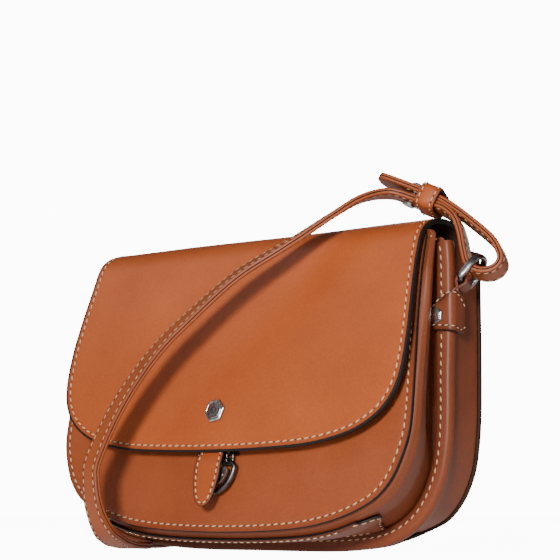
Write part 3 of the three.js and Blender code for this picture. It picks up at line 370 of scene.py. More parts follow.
def fill(tree, node, values):
    """Links or sets each named input of a node."""
    for socket, value in values.items():
        if isinstance(value, bpy.types.NodeSocket):
            tree.links.new(value, node.inputs[socket])
        else:
            node.inputs[socket].default_value = value


def add_node(tree, kind, output=None, values=None, **settings):
    """Adds a node with its settings and inputs, and returns its named output or the node itself."""
    node = tree.nodes.new(kind)
    for setting, value in settings.items():
        setattr(node, setting, value)
    fill(tree, node, values or {})
    return node.outputs[output] if output else node


def new_material(name):
    material = bpy.data.materials.new(name)
    material.use_nodes = True
    tree = material.node_tree
    tree.nodes.clear()
    shader = add_node(tree, "ShaderNodeBsdfPrincipled")
    add_node(tree, "ShaderNodeOutputMaterial", values={"Surface": shader.outputs["BSDF"]})
    return material, tree, shader


def on_object(tree):
    return add_node(tree, "ShaderNodeTexCoord", "Object")


def noise(tree, scale, detail, roughness):
    return add_node(tree, "ShaderNodeTexNoise", "Fac", {
        "Scale": scale, "Detail": detail, "Roughness": roughness, "Vector": on_object(tree)})


def ramp(tree, source, stops):
    node = add_node(tree, "ShaderNodeValToRGB", values={"Fac": source})
    elements = node.color_ramp.elements
    while len(elements) < len(stops):
        elements.new(0.5)
    for element, (place, colour) in zip(elements, stops):
        element.position, element.color = place, (*colour, 1)
    return node.outputs["Color"]


def multiply(tree, first, second, amount):
    return add_node(tree, "ShaderNodeMix", "Result", {"Factor": amount, "A": first, "B": second},
                    data_type="RGBA", blend_type="MULTIPLY")


def spread(tree, source, low, high):
    return add_node(tree, "ShaderNodeMapRange", "Result", {"To Min": low, "To Max": high, "Value": source})


def bump(tree, height, strength, distance):
    return add_node(tree, "ShaderNodeBump", "Normal", {
        "Strength": strength, "Distance": distance, "Height": height})


def hide_finish(name, dark, light, roughness, coat):
    """Smooth aniline cowhide: slow clouding, fine speckle, tight pores, and painted shade that darkens it
    towards the cut edge.
    """
    material, tree, shader = new_material(name)
    tone = ramp(tree, noise(tree, 14, 5, 0.6), [(0.3, dark), (0.72, light)])
    flecks = ramp(tree, noise(tree, 950, 3, 0.7), [(0.3, (0.80, 0.78, 0.76)), (0.62, (1.06, 1.05, 1.04))])
    from_edge = add_node(tree, "ShaderNodeAttribute", "Fac", attribute_name="from_edge")
    # Painted shade: the hide's colour darkens over the last few millimetres to its cut edge.
    edge_shade = ramp(tree, from_edge, [(0.0, (0.62, 0.56, 0.52)), (0.0012, (0.92, 0.90, 0.88)),
                                     (0.0050, (1, 1, 1))])
    pores = add_node(tree, "ShaderNodeTexVoronoi", "Distance", {"Scale": 1150, "Vector": on_object(tree)})
    grain = add_node(tree, "ShaderNodeMath", "Value", {0: pores, 1: 0.55, 2: noise(tree, 420, 6, 0.62)},
                     operation="MULTIPLY_ADD")
    fill(tree, shader, {
        "Base Color": multiply(tree, multiply(tree, tone, flecks, 0.75), edge_shade, 1.0),
        "Normal": bump(tree, grain, 0.10, 0.0004),
        "Roughness": spread(tree, noise(tree, 60, 4, 0.6), roughness - 0.07, roughness + 0.07),
        "Specular IOR Level": 0.34, "Coat Weight": coat, "Coat Roughness": 0.42})
    return material


def matt_finish(name, texture, dark, light, relief, roughness, specular):
    """One texture for both tone and relief, as on painted edges and the suede side."""
    material, tree, shader = new_material(name)
    grain = noise(tree, *texture)
    fill(tree, shader, {
        "Base Color": ramp(tree, grain, [(0.3, dark), (0.75, light)]), "Normal": bump(tree, grain, *relief),
        "Roughness": roughness, "Specular IOR Level": specular})
    return material


def thread_finish(name, dark, light):
    material, tree, shader = new_material(name)
    ply = add_node(tree, "ShaderNodeTexWave", "Fac", {
        "Scale": 900, "Distortion": 2.5, "Vector": on_object(tree)})
    fill(tree, shader, {"Base Color": ramp(tree, ply, [(0.15, dark), (0.8, light)]),
                        "Normal": bump(tree, ply, 0.5, 0.0002), "Roughness": 0.72})
    return material


def metal_finish(name, dark, light, roughness):
    """Plated metal with a darker wash that varies at random, and a fine bumpy relief."""
    material, tree, shader = new_material(name)
    wash = noise(tree, 260, 6, 0.65)
    fill(tree, shader, {
        "Base Color": ramp(tree, wash, [(0.28, dark), (0.55, light)]), "Metallic": 1.0,
        "Roughness": spread(tree, wash, roughness + 0.14, roughness - 0.05),
        "Normal": bump(tree, noise(tree, 520, 4, 0.6), 0.16, 0.0003)})
    return material


cognac = hide_finish("cognac hide", (0.36, 0.070, 0.0140), (0.46, 0.098, 0.0215), 0.47, 0.05)
cognac_front = hide_finish("cognac hide, front", (0.25, 0.053, 0.0145), (0.34, 0.076, 0.0215), 0.42, 0.10)
# A darker copy of the same hide for the gussets, middle panel, base pieces and side tabs: painted shade for the
# parts the light reaches less.
cognac_shaded_copy = hide_finish("cognac hide, shaded copy", (0.17, 0.040, 0.0135), (0.24, 0.057, 0.019), 0.45, 0.04)
cognac_strap = hide_finish("cognac hide, strap", (0.29, 0.062, 0.0140), (0.39, 0.087, 0.0210), 0.44, 0.08)
edge_paint = matt_finish("dark painted edge", (700, 4, 0.6), (0.006, 0.005, 0.005), (0.020, 0.014, 0.013),
                         (0.12, 0.0003), 0.55, 0.25)
# The flesh side is far darker than its own tone: painted shade for the hide's underside beneath the flap and
# inside the gussets.
shaded_flesh_side = matt_finish("suede flesh side in painted shade", (600, 6, 0.7), (0.040, 0.017, 0.010), (0.075, 0.033, 0.019),
                         (0.35, 0.0004), 0.95, 0.15)
cream_thread = thread_finish("cream waxed thread", (0.56, 0.35, 0.18), (0.88, 0.62, 0.37))
needle_hole_shade = thread_finish("needle hole shade", (0.035, 0.014, 0.009), (0.06, 0.024, 0.014))
nickel = metal_finish("worn nickel plate", (0.20, 0.18, 0.17), (0.72, 0.70, 0.67), 0.24)
ring_nickel = metal_finish("brushed ring nickel", (0.07, 0.06, 0.06), (0.40, 0.36, 0.35), 0.26)
dark_nickel = metal_finish("antique dark nickel", (0.045, 0.036, 0.035), (0.17, 0.14, 0.135), 0.32)
plate_nickel = metal_finish("rubbed antique plate", (0.14, 0.085, 0.072), (0.42, 0.29, 0.25), 0.50)


# Saddle stitching laid along a seam by geometry nodes

def stitch_tree():
    """Lays a thread at every pitch along a seam, turned to the surface, shifted along it and lifted."""
    tree = bpy.data.node_groups.new("saddle stitching", "GeometryNodeTree")
    sockets = {}
    for name, kind in (("Seam", "Geometry"), ("Pitch", "Float"), ("Thread Length", "Float"),
                       ("Thread Radius", "Float"), ("Slant", "Float"), ("Shift", "Float"), ("Lift", "Float"),
                       ("Thread", "Material")):
        socket = tree.interface.new_socket(name, in_out="INPUT", socket_type="NodeSocket" + kind)
        sockets[name] = socket.identifier
    tree.interface.new_socket("Stitches", in_out="OUTPUT", socket_type="NodeSocketGeometry")
    given = tree.nodes.new("NodeGroupInput").outputs

    def attribute(name):
        return add_node(tree, "GeometryNodeInputNamedAttribute", "Attribute", {"Name": name},
                        data_type="FLOAT_VECTOR")

    def scaled(vector, factor):
        return add_node(tree, "ShaderNodeVectorMath", "Vector", {0: vector, "Scale": factor},
                        operation="SCALE")

    curve = add_node(tree, "GeometryNodeMeshToCurve", "Curve", {"Mesh": given["Seam"]})
    evenly = add_node(tree, "GeometryNodeResampleCurve", "Curve", {"Curve": curve, "Length": given["Pitch"]},
                      mode="LENGTH")
    tangent = add_node(tree, "GeometryNodeInputTangent", "Tangent")
    normal = attribute("surface_normal")
    offset = add_node(tree, "ShaderNodeVectorMath", "Vector",
                      {0: scaled(tangent, given["Shift"]), 1: scaled(normal, given["Lift"])}, operation="ADD")
    stored = add_node(tree, "GeometryNodeStoreNamedAttribute", "Geometry",
                      {"Geometry": evenly, "Name": "laid_offset", "Value": offset}, data_type="FLOAT_VECTOR")
    axes = add_node(tree, "FunctionNodeAxesToRotation", "Rotation",
                    {"Primary Axis": normal, "Secondary Axis": tangent}, primary_axis="Z", secondary_axis="X")
    turn = add_node(tree, "FunctionNodeAxisAngleToRotation", "Rotation",
                    {"Axis": (0, 0, 1), "Angle": given["Slant"]})
    slanted = add_node(tree, "FunctionNodeRotateRotation", "Rotation", {"Rotation": axes, "Rotate By": turn},
                       rotation_space="LOCAL")
    thread = add_node(tree, "GeometryNodeMeshUVSphere", "Mesh", {"Segments": 8, "Rings": 5, "Radius": 1.0})
    size = add_node(tree, "ShaderNodeCombineXYZ", "Vector",
                    {"X": given["Thread Length"], "Y": given["Thread Radius"], "Z": given["Thread Radius"]})
    laid = add_node(tree, "GeometryNodeInstanceOnPoints", "Instances",
                    {"Points": stored, "Instance": thread, "Rotation": slanted, "Scale": size})
    moved = add_node(tree, "GeometryNodeTranslateInstances", "Instances",
                     {"Instances": laid, "Translation": attribute("laid_offset"), "Local Space": False})
    real = add_node(tree, "GeometryNodeRealizeInstances", "Geometry", {"Geometry": moved})
    soft = add_node(tree, "GeometryNodeSetShadeSmooth", "Geometry", {"Geometry": real})
    coloured = add_node(tree, "GeometryNodeSetMaterial", "Geometry",
                        {"Geometry": soft, "Material": given["Thread"]})
    add_node(tree, "NodeGroupOutput", values={"Stitches": coloured})
    return tree, sockets


STITCHING, STITCH_INPUTS = stitch_tree()


def sew(name, seams, pitch=4.5, length=3.1, radius=0.42, slant=0.16, lift=0.02):
    """Thread along seams, with dark dots between the stitches as painted shade in the needle holes; each seam a
    list of (point, surface normal).
    """
    points, edges, normals = [], [], []
    for seam in seams:
        start = len(points)
        points += [p for p, n in seam]
        normals += [unit(n) for p, n in seam]
        edges += [(start + k, start + k + 1) for k in range(len(seam) - 1)]
    for part, thread_length, thread_radius, angle, shift, height, material in (
            ("_stitches", length, radius, slant, 0, lift, cream_thread),
            # Dark sunken dots between the stitches: painted shade in the needle holes.
            ("_hole_shade", 0.95, 0.42, 0.0, pitch / 2, -0.10, needle_hole_shade)):
        mesh = bpy.data.meshes.new(name)
        mesh.from_pydata([tuple(p) for p in placed(points)], edges, [])
        attribute = mesh.attributes.new("surface_normal", "FLOAT_VECTOR", "POINT")
        attribute.data.foreach_set("vector", np.asarray(normals, dtype=np.float32).ravel())
        line = linked(name + "_line", mesh)
        modifier = line.modifiers.new("stitching", "NODES")
        modifier.node_group = STITCHING
        for key, value in (("Pitch", pitch * MM), ("Thread Length", thread_length / 2 * MM),
                           ("Thread Radius", thread_radius * MM), ("Slant", angle), ("Shift", shift * MM),
                           ("Lift", height * MM), ("Thread", material)):
            modifier[STITCH_INPUTS[key]] = value
        finished = evaluated(line)
        finished.name = name + part
        add_object(name + part, finished, "hide")


# Panels with a U-shaped outline: rows follow the cut edge, then run in to the middle line

BORDER = (0.0, 0.5, 1.2, 2.2, 2.9, 3.4, 3.9, 4.8, 7.0, 11.0)


def groove(distance, line, width):
    return math.exp(-((distance - line) / width) ** 2)


def edge_relief(distance):
    """How far the face falls back near its cut edge and along its stitch line."""
    return (0.12 * max(0.0, 1 - distance / 2.4) ** 2 + 0.16 * groove(distance, THREAD_INSET, 0.55)
            - 0.12 * groove(distance, THREAD_INSET + 2.4, 1.8))


def u_panel(edge_at, top, bottom, stations=150, inner=12, border=BORDER):
    """Points (across, height, distance from edge) and faces of a U-shaped panel."""
    points = []
    for s in np.linspace(-1, 1, stations):
        x, h, nx, nh = edge_at(s)
        points += [(x - d * nx, h - d * nh, d) for d in border]
        bx, bh = x - border[-1] * nx, h - border[-1] * nh
        spine = mix(bottom + border[-1], top, abs(s) ** 1.15)
        for t in np.arange(1, inner + 1) / inner:
            points.append((bx * (1 - t), mix(bh, spine, t), border[-1] + 40 * t))
    return points, grid_faces(stations, len(border) + inner)


def panel(name, grid, onto, wall, facing, finish, node, **more):
    """A hide over a U-shaped grid: onto() says where (across, height, from edge) lies."""
    points, faces = grid
    leather(name, [onto(*p) for p in points], faces, [d * MM for _, _, d in points], wall, facing, finish,
            [node], **more)


def outline_seam(outline, face_at, inset, count=260, forward=-1, lift=0.0, reach=1.0):
    seam = []
    for s in np.linspace(-reach, reach, count):
        x, z, nx, nz = outline.at(s)
        z -= inset * nz
        slope = (face_at(z + 1) - face_at(z - 1)) / 2
        normal = unit((0, forward, -forward * slope))
        seam.append((np.array((x - inset * nx, face_at(z), z)) + normal * lift, normal))
    return seam


def front_panel():
    grid = u_panel(front_outline.at, BODY_HEIGHT, front_outline.at(0)[1])
    panel("front_panel_hide", grid, lambda x, h, d: (x, panel_face(h) + edge_relief(d), h), PANEL_WALL - 0.05,
          (0, -1, 0), cognac_front, "front_panel")
    sew("front_panel", [outline_seam(front_outline, panel_face, THREAD_INSET, lift=-0.1)])


def back_panel():
    face = SEAM_Y + REAR_DEPTH + PANEL_WALL
    grid = u_panel(back_outline.at, back_outline.at(1)[1], back_outline.at(0)[1])
    panel("back_panel_hide", grid, lambda x, h, d: (x, face - edge_relief(d), h), PANEL_WALL - 0.1,
          (0, 1, 0), cognac, "back_panel", painted=-1)
    sew("back_panel", [outline_seam(back_outline, lambda z: face, THREAD_INSET, forward=1, lift=-0.1)])


def middle_panel():
    """The sheet between the compartments, sewn in with both gussets' flanges."""
    face, inset = SEAM_Y + 3.9, 3.4

    def edge_at(share):
        x, h, nx, nh = rear_outline.at(share * 0.984)
        return x - inset * nx, h - inset * nh, nx, nh

    grid = u_panel(edge_at, edge_at(1)[1], edge_at(0)[1], stations=110, inner=8)
    panel("middle_panel_hide", grid, lambda x, h, d: (x, face + edge_relief(d), h), 1.8, (0, -1, 0),
          cognac_shaded_copy, "middle_panel", slot="hide_shade")


# The flap lies on a profile: height up its front, then length over the roll and down the back

SHOULDER_DROP = 7  # how far below the outline's top the roll begins
ROLL_REACH = 22
ROLL_RISE = 3
TAIL_TURN = 16.5
TAIL_LENGTH = 42
TAIL_HALF = 112.0
CORNER = 8  # radius of the tail's lower corners


def flap_profile():
    shoulder_z = FLAP_OUTLINE[-1][1] * BODY_HEIGHT - SHOULDER_DROP
    shoulder_y = flap_face(shoulder_z)
    back_y = SEAM_Y + REAR_DEPTH + PANEL_WALL + GAP + FLAP_WALL
    p0 = np.array((shoulder_y, shoulder_z))
    p1 = p0 + unit((flap_face(shoulder_z + 1) - shoulder_y, 1)) * ROLL_REACH
    p2 = np.array((back_y, FLAP_TOP + ROLL_RISE))
    p3 = np.array((back_y, FLAP_TOP - TAIL_TURN))
    run = [(1 - t) ** 3 * p0 + 3 * (1 - t) ** 2 * t * p1 + 3 * (1 - t) * t * t * p2 + t ** 3 * p3
           for t in np.linspace(0, 1, 60)]
    run.append(np.array((back_y, p3[1] - TAIL_LENGTH)))
    return shoulder_z, np.array(run), run_lengths(run)


FLAP_SHOULDER, FLAP_RUN, FLAP_LENGTHS = flap_profile()
FLAP_END = FLAP_SHOULDER + float(FLAP_LENGTHS[-1])
flap_outline = Outline(sized(FLAP_OUTLINE) + [
    (TAIL_HALF, h) for h in (FLAP_SHOULDER + 27, FLAP_SHOULDER + 52, FLAP_END - 22, FLAP_END)])


def on_flap(h):
    if h <= FLAP_SHOULDER:
        return flap_face(h), h
    return tuple(float(np.interp(h - FLAP_SHOULDER, FLAP_LENGTHS, FLAP_RUN[:, k])) for k in (0, 1))


def flap_normal(h):
    (y0, z0), (y1, z1) = on_flap(h - 0.5), on_flap(h + 0.5)
    return unit((0, -(z1 - z0), y1 - y0))


def flap_point(x, h, push=0.0):
    normal = flap_normal(h)
    return np.array((x, *on_flap(h))) + normal * push, normal


def tail_corner(x, h):
    """Rounds the two lower corners of the tail by drawing its rows up near the sides."""
    beyond = min(1.0, max(0.0, abs(x) - (TAIL_HALF - CORNER)) / CORNER)
    return h - CORNER * (1 - math.sqrt(1 - beyond ** 2)) * max(0.0, 1 - (FLAP_END - h) / (3 * CORNER))


def flap():
    def onto(x, h, d):
        h = tail_corner(x, h)
        left = FLAP_END - h
        d = min(d, left + 0.6) if left > 0.3 else d
        wave = 0.35 * math.sin(x / 31.0 + 0.6) * math.sin(h / 37.0) * ease((d - 8) / 30)
        return flap_point(x, h, wave - edge_relief(d))[0]

    grid = u_panel(flap_outline.at, FLAP_END, flap_outline.at(0)[1], stations=230, inner=14)
    # The flap's dark band is wider than its edge paint: the extra black paints the shadow along the flap's
    # edge.
    panel("flap_hide", grid, onto, FLAP_WALL - 0.1, (0, -1, 0.2), cognac, "flap", round_edge=0.5,
          painted=1.25)
    seam = []
    for s in np.linspace(-0.985, 0.985, 520):
        x, h, nx, nh = flap_outline.at(s)
        seam.append(flap_point(x - THREAD_INSET * nx, h - THREAD_INSET * nh, -0.12))
    across = [flap_point(x, tail_corner(x, FLAP_END - THREAD_INSET)) for x in np.linspace(-106, 106, 80)]
    sew("flap", [seam, across])


# Gussets

@functools.lru_cache(maxsize=None)
def rear_rims(share):
    return np.array(rear_outline.at(share)), np.array(back_outline.at(share))


def rear_point(share, blend, out, back):
    """A place between the seam's outline and the back's, set out from them."""
    x, z, nx, nz = mix(*rear_rims(share), blend)
    return x + out * nx, SEAM_Y + back, z + out * nz


def rear_gusset():
    section = smooth_run(REAR_SECTION, 62)
    lengths = run_lengths(section[:, :2])
    rows = []
    for share in np.linspace(-1, 1, 190):
        row = []
        for (out, back, blend), along in zip(section, lengths):
            deep = back / REAR_DEPTH
            dent = 0.35 * math.sin(9.5 * share + 0.5 * deep) * math.sin(math.pi * min(1, deep))
            out += dent - 0.16 * groove(along, 2.8, 0.5)
            row.append((rear_point(share, min(1.0, max(0.0, blend)), out, back), along))
        rows.append(row)
    sheet("rear_gusset_hide", rows, GUSSET_WALL - 0.3, (0, -0.2, -1), cognac_shaded_copy, ["rear_gusset"],
          slot="hide_shade")
    seam = outline_seam(rear_outline, lambda z: SEAM_Y + 0.02, FLANGE_WIDTH - 2.8, count=420, reach=0.985)
    sew("rear_seam", [seam], pitch=4.6, radius=0.4)


@functools.lru_cache(maxsize=None)
def gusset_frame(share):
    fx, fz, fnx, fnz = front_outline.at(share)
    rx, rz, rnx, rnz = rear_outline.at(share)
    high = ease((abs(share) - 0.5) / 0.4)
    pocket = 5.8 * ease((abs(share) - 0.52) / 0.14)
    seam = FLANGE_WIDTH + 1 + pocket
    start = np.array((fx, behind(panel_face, fz, PANEL_WALL) + GAP, fz))
    end = np.array((rx - seam * rnx, SEAM_Y - 0.4, rz - seam * rnz))
    return high, pocket, start, end, unit((fnx + rnx, 0, fnz + rnz)), np.array((-fnx, 0, -fnz))


SWELL = smooth_run(FRONT_SWELL, 60)
# Courses that close the front gusset's top ends: how far each rises, and how far it is drawn in
TURNED_TOP = ((2.7, 4.6), (2.6, 2.4), (1.7, 0.7))


def gusset_point(share, depth, lift=0.0):
    high, _, start, end, out, _ = gusset_frame(share)
    low, top = (float(np.interp(depth, SWELL[:, 0], SWELL[:, k])) for k in (1, 2))
    pinch = 1.8 * groove(abs(share), 0.36, 0.07) * math.sin(math.pi * min(1, max(0, depth)))
    cover = ease((abs(share) - 0.84) / 0.12) * groove(depth, 0, 0.14)
    return (start + (end - start) * depth + out * (mix(low, top, high) - pinch + lift + 1.1 * cover)
            - np.array((0, 2.4 * cover, 0)))


def gusset_seam(places, lift=0.0):
    return [(gusset_point(share, depth, lift), gusset_frame(share)[4]) for share, depth in places]


def front_gusset():
    depths = np.linspace(0.0, 1.0, 34)
    courses = [(-1.0, *turn) for turn in TURNED_TOP] + [(s, 0.0, 0.0) for s in np.linspace(-1, 1, 190)]
    courses += [(1.0, *turn) for turn in TURNED_TOP[::-1]]
    rows = []
    for share, rise, drawn in courses:
        rx, rz, rnx, rnz = rear_outline.at(share)
        _, pocket, start, _, out, inward = gusset_frame(share)
        row = []
        for inset in (TURN_IN, 4.5, 1.8):
            p = start + inward * inset
            p[1] = behind(panel_face, p[2], PANEL_WALL) + GAP
            row.append(p)
        row += [gusset_point(share, depth) for depth in depths[1:]]
        for inset in (FLANGE_WIDTH + 0.6 + 0.8 * pocket, 6.5, 3.6):
            row.append(np.array((rx - inset * rnx, SEAM_Y + GUSSET_WALL + SEAM_GAP, rz - inset * rnz)))
        shift = np.array((0, 0, rise)) - out * drawn
        rows.append([(p + shift, along) for p, along in zip(row, run_lengths(row))])
    sheet("front_gusset_hide", rows, INNER_GUSSET_WALL - 0.2, (0, 0, -1), cognac_shaded_copy, ["front_gusset"],
          slot="hide_shade")
    ends = [gusset_seam([(side * 0.993, depth) for depth in np.linspace(0.04, 0.62, 24)]) for side in (-1, 1)]
    sew("gusset_ends", ends, pitch=3.4, length=2.3, radius=0.36, slant=0)


# Doubled leather under each compartment

def base_hide(name, rows, node):
    sheet(name, rows, OVERLAY_WALL - 0.2, (0, 0, -1), cognac_shaded_copy, [node], slot="hide_shade", round_edge=0.25)


def front_base_overlay():
    first, last, lift, outline_half = 0.10, 0.94, OVERLAY_WALL + 2 * GAP, 165
    rows = []
    for t in np.linspace(0, 1, 110):
        row = []
        for depth in np.linspace(first, last, 26):
            reach = column(BRACKET_END, depth, 1)
            edge = min((depth - first) * 38, (last - depth) * 38, min(t, 1 - t) * 2 * reach * outline_half)
            row.append((gusset_point(mix(-reach, reach, t), depth, lift), edge))
        rows.append(row)
    base_hide("front_base_hide", rows, "front_base_overlay")
    inset = 1.0 / outline_half
    ends = [gusset_seam([(side * (column(BRACKET_END, depth, 1) - inset), depth)
                         for depth in np.linspace(0.14, 0.90, 40)], lift) for side in (-1, 1)]
    sides = [gusset_seam([(share, depth) for share in np.linspace(-0.285, 0.285, 160)], lift)
             for depth in (0.145, 0.90)]
    sew("front_base", ends + sides, pitch=4.2, radius=0.38)


def rear_base_overlay():
    first, last, reach = 9.6, REAR_DEPTH - 3.2, 0.345
    lift = -SIDE_RECESS + GAP + OVERLAY_WALL + 0.1
    blends = [(back, blend) for _, back, blend in REAR_SECTION]
    rows = []
    for share in np.linspace(-reach, reach, 110):
        flat = ease((abs(share) - 0.12) / 0.1)
        row = []
        for depth in np.linspace(first, last, 22):
            x, y, z = rear_point(share, column(blends, depth, 1), lift, depth)
            edge = min(depth - first, last - depth, (reach - abs(share)) * 300)
            row.append(((x, y, mix(0, z, flat)), edge))
        rows.append(row)
    base_hide("rear_base_hide", rows, "rear_base_overlay")


# Closure tab, with its rounded tip

TAB_X = -2.5
TAB_TIP = [(0.0, 24.1), (2.4, 24.7), (4.7, 26.8), (6.3, 30.0), (7.5, 34.6)]
TAB_TOP = TAB_ROWS[0][0]
TAB_THREAD = 1.9


def tab_face(z):
    rows = TAB_ROWS[::-1]
    return flap_face(z) + FLAP_WALL * 1.03 + GAP - column(rows, z, 1) + 0.3


@functools.lru_cache(maxsize=None)
def tab_smooth(z):
    return float(np.mean([tab_face(min(TAB_TOP, z + k)) for k in np.linspace(-1.6, 1.6, 9)]))


def closure_tab():
    shape = Outline(TAB_TIP + [(row[2], row[0]) for row in TAB_ROWS[::-1][4:]])
    border = (0.0, 0.4, 0.9, 1.5, TAB_THREAD, 2.3, 3.0)
    points, faces = u_panel(shape.at, TAB_TOP, 24.2, stations=120, inner=5, border=border)

    def onto(x, h, d):
        fall = 0.35 * max(0, 1 - d / 1.2) ** 2 + 0.14 * groove(d, TAB_THREAD, 0.4)
        return TAB_X + x, tab_smooth(h) + fall, h

    leather("closure_tab_hide", [onto(*p) for p in points], faces, [min(d, 3.0) * MM for _, _, d in points],
            TAB_WALL - 0.3, (0, -1, 0), cognac, ["closure_tab"])
    seam = []
    for s in np.linspace(-1, 1, 200):
        x, h, nx, nh = shape.at(s)
        h -= TAB_THREAD * nh
        normal = unit((0, -1, (tab_face(h + 1.5) - tab_face(h - 1.5)) / 3))
        seam.append((np.array((TAB_X + x - TAB_THREAD * nx, tab_smooth(h), h)) - normal * 0.02, normal))
    sew("closure_tab", [seam], pitch=3.5, length=2.6, radius=0.42, slant=0.12)


# Side tabs and the necks that hold the rings

TAB_FRONT_Y = SEAM_Y - GAP - TAB_WALL
TAB_SIDE_X = HALF_WIDTH + GAP + TAB_WALL
RING_SEAT = np.array((HALF_WIDTH + 4.7, SEAM_Y + 4.5, 139.2))
RING_ALONG = unit((-0.271, 0.937, -0.22))
LEFT_SEAT = RING_SEAT * (-1, 1, 1) + (0, 2, 0)
LEFT_ALONG = unit((-0.1, 0.995, 0))


def square_to(along, way):
    """A way turned square to another."""
    way = np.asarray(way, float)
    return unit(way - along * way.dot(along))


RING_UP = square_to(RING_ALONG, (0.536, 0.337, 0.774))
LEFT_HANG = square_to(LEFT_ALONG, (-0.46, 0, -0.887))


def side_tab_path(way):
    bend, inner_x, side = 3.6, HALF_WIDTH - FLANGE_WIDTH - 1.4, 9.6
    straight = TAB_SIDE_X - bend - inner_x
    arc = bend * math.pi / 2
    along = way * (straight + arc + side)
    if along <= straight:
        return inner_x + along, TAB_FRONT_Y, (0, -1, 0)
    if along <= straight + arc:
        s, c = math.sin((along - straight) / bend), math.cos((along - straight) / bend)
        return TAB_SIDE_X - bend + bend * s, TAB_FRONT_Y + bend - bend * c, (s, -c, 0)
    return TAB_SIDE_X, TAB_FRONT_Y + bend + along - straight - arc, (1, 0, 0)


TAB_LOW, TAB_HIGH = (smooth_run([(row[0], row[k]) for row in SIDE_TAB_ROWS], 80) for k in (1, 2))


def side_tab(name, side, seat, ring_line):
    levels = np.concatenate([[0, 0.02, 0.05, 0.09, 0.14], np.linspace(0.2, 0.8, 10), [0.88, 0.94, 0.98, 1.0]])
    rows = []
    for way in np.linspace(0, 1, 56):
        x, y, n = side_tab_path(way)
        low, high = column(TAB_LOW, way, 1), column(TAB_HIGH, way, 1)
        row = []
        for t in levels:
            d = min(t, 1 - t) * (high - low)
            fall = 0.4 * max(0, 1 - d / 1.2) ** 2 + 0.12 * groove(d, 1.9, 0.45)
            place = (np.array((x, y, mix(low, high, t))) - np.array(n) * fall) * (side, 1, 1)
            row.append((place, min(d, (1 - way) * 22)))
        rows.append(row)
    sheet(name + "_hide", rows, TAB_WALL - 0.3, (side * 0.8, -0.6, 0), cognac_shaded_copy, [name])
    up = square_to(ring_line, (0, 0, 1))
    out = unit(np.cross(ring_line, up))
    out *= math.copysign(1, out[0] * side)
    course = [(-5.4, -8.6), (-4.8, -6.8), (-3.0, -4.9), (0.0, -3.8), (2.4, -2.4)]
    course += [(3.45 * math.cos(a), 3.45 * math.sin(a)) for a in np.linspace(-0.35, math.pi + 0.35, 14)]
    course += [(-2.9, -3.2), (-2.4, -6.0)]
    rows = []
    for k, (o, u) in enumerate(smooth_run(course, 70)):
        above = ease(k / 16)
        wide = mix(5.4, 4.7, above)
        row = []
        for a in (-1, -0.93, -0.8, -0.6, -0.3, 0, 0.3, 0.6, 0.8, 0.93, 1):
            fall = 0.3 * max(0, (abs(a) - 0.8) / 0.2) ** 2
            place = seat + out * (o * (1 - 0.06 * fall)) + up * u + ring_line * (a * wide + 1.8 * (1 - above))
            row.append((place, (1 - abs(a)) * wide))
        rows.append(row)
    sheet(name + "_neck", rows, 1.5, (side, 0, 0.5), cognac_shaded_copy, rim=cognac_shaded_copy, round_edge=0.2, painted=-1)
    top, bottom = [], []
    for way in np.linspace(0.03, 0.93, 60):
        x, y, n = side_tab_path(way)
        n = np.array(n) * (side, 1, 1)
        arch = 126.6 + 7.6 * math.sin(math.pi * min(1, way / 0.98)) ** 0.9
        bottom.append((np.array((x * side, y, column(TAB_LOW, way, 1) + 2.6)), n))
        top.append((np.array((x * side, y, min(arch, 134.4))), n))
    sew(name, [bottom, top], pitch=3.3, length=2.3, radius=0.34, slant=0.1)


# Turned and bent metal

def strap_ring(name, seat, along, up):
    half, reach = 8.1 + 1.05, 17.0
    leg = reach - half
    # Each step of the path: along the bar, up from it, and how far the round bar has turned into a flat band
    turn = [(0.90 * half, 0.25, 0.15), (0.975 * half, 0.9, 0.4), (half, 2.2, 0.8), (half, 4.5, 1),
            (half, leg, 1)]
    path = [(a * half, 0, 0) for a in np.linspace(-0.72, 0.72, 9)] + turn
    path += [(half * math.cos(a), leg + half * math.sin(a), 1) for a in np.linspace(0, math.pi, 33)[1:-1]]
    path += [(-a, u, flat) for a, u, flat in turn[::-1]]
    across = unit(np.cross(along, up))
    centres = [seat + along * a + up * u for a, u, _ in path]
    rings = []
    for i, (_, _, flat) in enumerate(path):
        side = unit(np.cross(unit(centres[(i + 1) % len(path)] - centres[i - 1]), across))
        wide, thick, power = mix(1.3, 1.85, flat), mix(1.3, 1.05, flat), 2 / mix(2.0, 3.4, flat)
        ring = []
        for k in range(20):
            c, s = math.cos(2 * math.pi * k / 20), math.sin(2 * math.pi * k / 20)
            ring.append(centres[i] + across * wide * math.copysign(abs(c) ** power, c)
                        + side * thick * math.copysign(abs(s) ** power, s))
        rings.append(ring)
    closed_piece(name + "_metal", *skin(rings, closed=True), [ring_nickel], "steel", [name], 60)


STUD_RADIUS, TAB_STUD_RADIUS = 6.8, 4.5
STUD_WALL = [(0.0, 0.95), (0.4, 1.0), (0.95, 1.0), (1.2, 0.975), (1.42, 0.93)]
STUD_DOME = (0.86, 0.80, 0.76, 0.72, 0.68, 0.62, 0.5, 0.38, 0.27, 0.21, 0.16, 0.1, 0.04)


